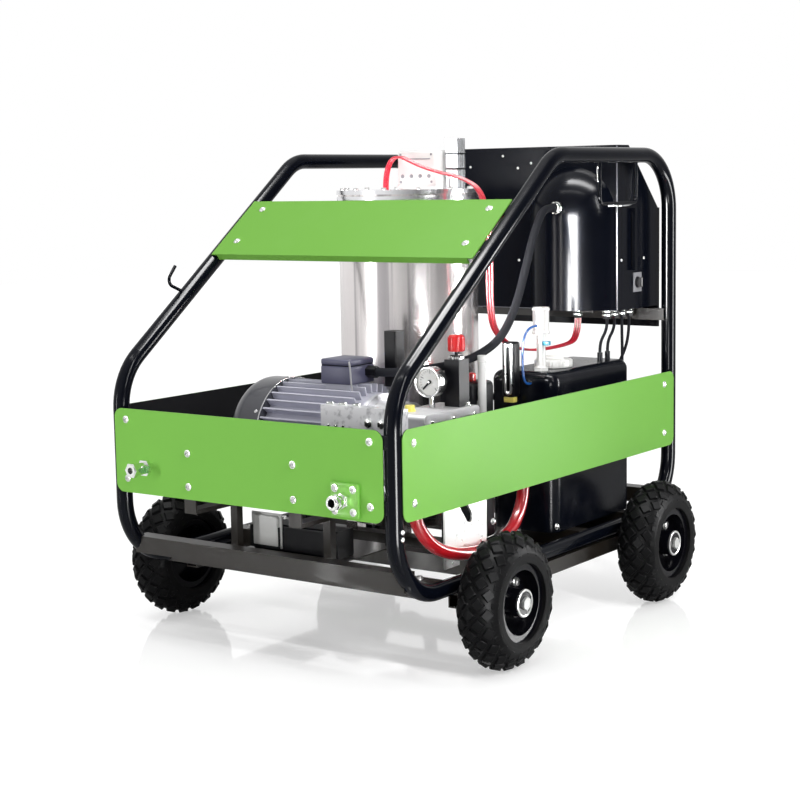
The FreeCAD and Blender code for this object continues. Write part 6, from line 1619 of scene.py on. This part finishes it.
@dataclass
class Tanks:
    """The trim of the water tank, the filter and the detergent can."""

    cap: Point = at(270, 850, 601.4)
    cap_profile: Profile = (
        (0.0, 0.0215), (0.032, 0.0215), (0.0345, 0.0205), (0.0432, 0.0205), (0.0456, 0.0185),
        (0.0462, 0.015), (0.0462, 0.001), (0.0456, 0.0002), (0.042, 0.0002), (0.042, 0.0178),
        (0.0, 0.0178))
    cap_ribs: Ribs = Ribs((0.0455, -0.0016, 0.001), (0.0474, 0.0016, 0.0175), 0.0006, 36)
    cap_grip: Box = Box((240, 846, 621.5), (300, 854, 630.5), 0.0018, 3)
    collars: Sequence[Row] = (
        (Head(0.0218, 0.006, 48, 0.0012), [at(285, 766, 692)], Axis.Z),
        (Head(0.0218, 0.0056, 48, 0.0012), [at(285, 766, 748)], Axis.Z))
    clip: Box = Box((296, 752, 664), (312, 768, 674), 0.0015)
    clip_stem: Head = Head(0.0035, 0.01, 20, 0.0)
    clip_stem_end: Point = at(288, 762, 669)
    housing: Box = Box((222.5, 683, 541), (257.5, 715, 675.5), 0.006, 3)
    housing_tab: Box = Box((230, 700, 552), (250, 716, 572), 0.001, 1)
    guard: Sequence[Point] = (
        (236, 679, 672), (236, 679, 600), (236, 679, 562), (237, 679, 553), (244, 679, 549),
        (251, 679, 553), (252, 679, 562), (252, 679, 600), (252, 679, 672))
    guard_radius: float = 0.0034
    guard_bar: Box = Box((233, 678, 664), (255, 684, 671), 0.0008, 1)
    guard_foot: Box = Box((240, 678, 549), (248, 684, 556), 0.0008, 1)
    drain: Box = Box((226, 686, 528), (254, 704, 541.5), 0.0015)
    can_body: Box = Box((192, 450.4, 210.4), (292, 545, 602), 0.013, 4)
    can_rib: Box = Box((204, 450, 300), (280, 452, 306), 0.0008, 1)
    can_ribs: int = 4
    can_rib_pitch: float = 0.06
    can_cap: Head = Head(0.0222, 0.0184, 48, 0.0016)
    can_cap_foot: Point = at(242, 497.4, 601.6)
    can_cap_ribs: Ribs = Ribs((0.0216, -0.0012, 0.001), (0.0229, 0.0012, 0.0165), 0.0004, 28)
    riser: Sequence[Row] = (
        (Head(0.0099, 0.14, 40, 0.001), [at(304, 469.4, 527)], Axis.Z),
        (Head(0.0107, 0.004, 40, 0.0006, 1), [at(304, 469.4, 650)], Axis.Z))
    riser_clip: Box = Box((291.6, 465.4, 547), (296, 473.4, 561), 0.0008, 1)

    def ribbed_cap(self) -> None:
        """Make the ribbed white cap with its grip."""
        body = Bench.turned(self.cap_profile, self.cap, Axis.Z, 72)
        made = Bench.joined([body, *self.cap_ribs.round(self.cap), self.cap_grip.made()])
        Bench.smooth(made)
        Bench.dressed([made], "tank_cap_ribbed", WHITE_PLASTIC, "white_plastic", ["tank_cap"], "cap")

    def float_trim(self) -> None:
        """Make the collars of the float valve and its blue clip."""
        Bench.dressed(set_heads(self.collars), "float_valve_collars", WHITE_PLASTIC, "white_plastic")
        stem = self.clip_stem.on([self.clip_stem_end], Axis.X)
        Bench.dressed([self.clip.made(), *stem], "float_clip_blue", TEAL_PLASTIC, "white_plastic")

    def filter(self) -> None:
        """Make the dark housing of the filter, its bright guard bent to a U and its yellow drain."""
        Bench.dressed([self.housing.made(), self.housing_tab.made()], "filter_housing", BLACK_PLASTIC,
                      "black_plastic", ["sight_tube"])
        guard = [Bench.wire(self.guard, self.guard_radius), self.guard_bar.made(), self.guard_foot.made()]
        Bench.dressed(guard, "filter_guard_bright", ZINC, "zinc")
        Bench.dressed([self.drain.made()], "filter_drain_yellow", YELLOW_PLASTIC, "white_plastic")

    def can(self) -> None:
        """Make the black can, its red cap and the white riser pipe beside it."""
        lifts = [shifted((0, 0, self.can_rib_pitch * index)) for index in range(self.can_ribs)]
        Bench.dressed([self.can_body.made(), *Bench.repeated(self.can_rib.made(), lifts)], "can_black",
                      BLACK_PLASTIC, "black_plastic", ["detergent_tank"])
        cap = self.can_cap.on([self.can_cap_foot]) + self.can_cap_ribs.round(self.can_cap_foot)
        Bench.dressed(cap, "can_cap_red", RED_PLASTIC, "red_plastic")
        Bench.dressed([*set_heads(self.riser), self.riser_clip.made()], "riser_pipe_white", PIPE_WHITE,
                      "white_plastic")

    def build(self) -> None:
        """Make all the tanks' trim."""
        self.ribbed_cap()
        self.float_trim()
        self.filter()
        self.can()


@dataclass
class Cabinet:
    """The trim of the control cabinet: lighter edge strips painted as highlights, screws, gland nuts, a bail
    and the switch plate.
    """

    # painted highlights: a lighter strip on the front right corner and one along the front face's bottom
    # edge
    corner: Box = Box((348.2, 1032.6, 731), (351.2, 1036, 1147), 0.0012)
    sill: Box = Box((-115, 1032.8, 728.6), (350, 1035, 730.6), 0.0006, 1)
    face_y: float = 1034.3
    face_screw: Head = Head(0.0034, 0.0022, 24, 0.0008)
    face_screws: Sequence[tuple[float, float]] = (
        (12, 1127), (58, 1095), (59, 855), (98, 1107), (-90, 1100), (-90, 760))
    side_screw: Head = Head(0.0036, 0.0024, 24, 0.0008)
    side_screws: Sequence[Point] = (at(349.7, 1056, 857), at(349.7, 1178, 858))
    glands: Sequence[tuple[float, float]] = (
        (300, 1072), (300, 1112), (300, 1152), (300, 1192), (214, 1072))
    lower_nut: Head = Head(0.0125, 0.006, 6, 0.0008)
    lower_nut_foot: float = 712.0
    upper_nut: Head = Head(0.0125, 0.007, 6, 0.0008)
    upper_nut_foot: float = 721.4
    conduit_nuts: Sequence[Row] = (
        (Head(0.0156, 0.007, 6, 0.001), [at(225, 931, 993)], Axis.Y),
        (Head(0.0156, 0.005, 24, 0.001), [at(225, 942, 993)], Axis.Y))
    bail: Sequence[Point] = (
        (298, 1032.4, 1093), (298, 1027, 1093), (299, 1024, 1080), (303, 1024, 1030),
        (310, 1023, 1003), (330, 1019, 996), (356, 1030, 995), (359, 1060, 996), (358, 1098, 998),
        (357, 1118, 1006), (357, 1126, 1030), (357, 1128, 1078), (354, 1128, 1090), (348.6, 1128, 1090))
    bail_radius: float = 0.0024
    plate: Box = Box((349.8, 1120, 772), (351.6, 1164, 822))
    plate_bevel: float = 0.0005
    plate_hole: Head = Head(0.0146, 0.012, 40, 0.0)
    plate_hole_end: Point = at(345, 1142, 797)
    pointer: Box = Box((363.4, 1140.6, 786), (364.6, 1143.4, 808), 0.0004, 1)

    def fixings(self) -> None:
        """Make the small screws of the faces and the bright nuts of the glands and the conduit."""
        screws = self.face_screw.on((at(x, self.face_y, z) for x, z in self.face_screws), Axis.MINUS_Y)
        screws += self.side_screw.on(self.side_screws, Axis.X)
        Bench.dressed(screws, "cabinet_screws", ZINC, "zinc")
        nuts = self.lower_nut.on(at(x, y, self.lower_nut_foot) for x, y in self.glands)
        nuts += self.upper_nut.on(at(x, y, self.upper_nut_foot) for x, y in self.glands)
        Bench.dressed(nuts + set_heads(self.conduit_nuts), "gland_nuts_bright", NICKEL, "zinc")

    def switch(self) -> None:
        """Make the plate and the pointer of the main switch."""
        hole = Bench.joined(self.plate_hole.on([self.plate_hole_end], Axis.X))
        plate = Bench.carved(self.plate.made(), hole)
        Bench.soften(plate, self.plate_bevel, 1)
        Bench.dressed([plate], "switch_plate", SWITCH_GREY, "black_plastic")
        Bench.dressed([self.pointer.made()], "switch_pointer", DIAL_WHITE, "white_plastic",
                      body="switch_knob")

    def build(self) -> None:
        """Make all the cabinet's trim, with its edge strips painted lighter as highlights and the wire bail
        round its corner.
        """
        Bench.dressed([self.corner.made(), self.sill.made()], "cabinet_edge_highlights", EDGE_HIGHLIGHT_PAINT, "black_paint")
        self.fixings()
        Bench.dressed([Bench.wire(self.bail, self.bail_radius)], "cabinet_bail_wire", STEEL, "zinc")
        self.switch()


@dataclass
class BaseBolts:
    """The bolts of the hoops, the floor beams and the tray."""

    hoop_bolt: Head = Head(0.0052, 0.0046, 24, 0.0016, 3)
    hoop_x: float = 406.4
    hoop_z: tuple[float, float] = (332, 347)
    beam_x: tuple[float, float] = (-340, 340)
    beam_y: Sequence[float] = (155, 390, 520, 790, 1050)
    bolts: Sequence[Row] = (
        (Head(0.0088, 0.0016, 28, 0.0004, 1), grid(beam_x, beam_y, [209.7]), Axis.Z),
        (Head(0.0076, 0.0056, 6, 0.0008), grid(beam_x, beam_y, [211]), Axis.Z),
        (Head(0.0078, 0.0018, 28, 0.0005, 1), [at(291.7, 527, 267), at(349.7, 724, 226)], Axis.X),
        (Head(0.0054, 0.0056, 6, 0.0008), [at(293.1, 527, 267), at(351.1, 724, 226)], Axis.X))

    def build(self) -> None:
        """Make all the bolts as one piece."""
        bolt = Bench.joined(self.hoop_bolt.on([ORIGIN], Axis.X))
        moves = [shifted(at(side * self.hoop_x, 0, z)) @ about("Z", 0 if side > 0 else 180)
                 for side in (-1, 1) for z in self.hoop_z]
        Bench.dressed(Bench.repeated(bolt, moves) + set_heads(self.bolts), "base_bolts", ZINC, "zinc")


def main() -> None:
    """Build the pressure washer, piece by piece."""
    for part in (Studio, Cords, Carried, Wheels, PanelBolts, Motor, FlowSwitchCover, Outlet, Pump, Boiler,
                 Tanks, Cabinet, BaseBolts):
        part().build()


if __name__ == "__main__":
    main()
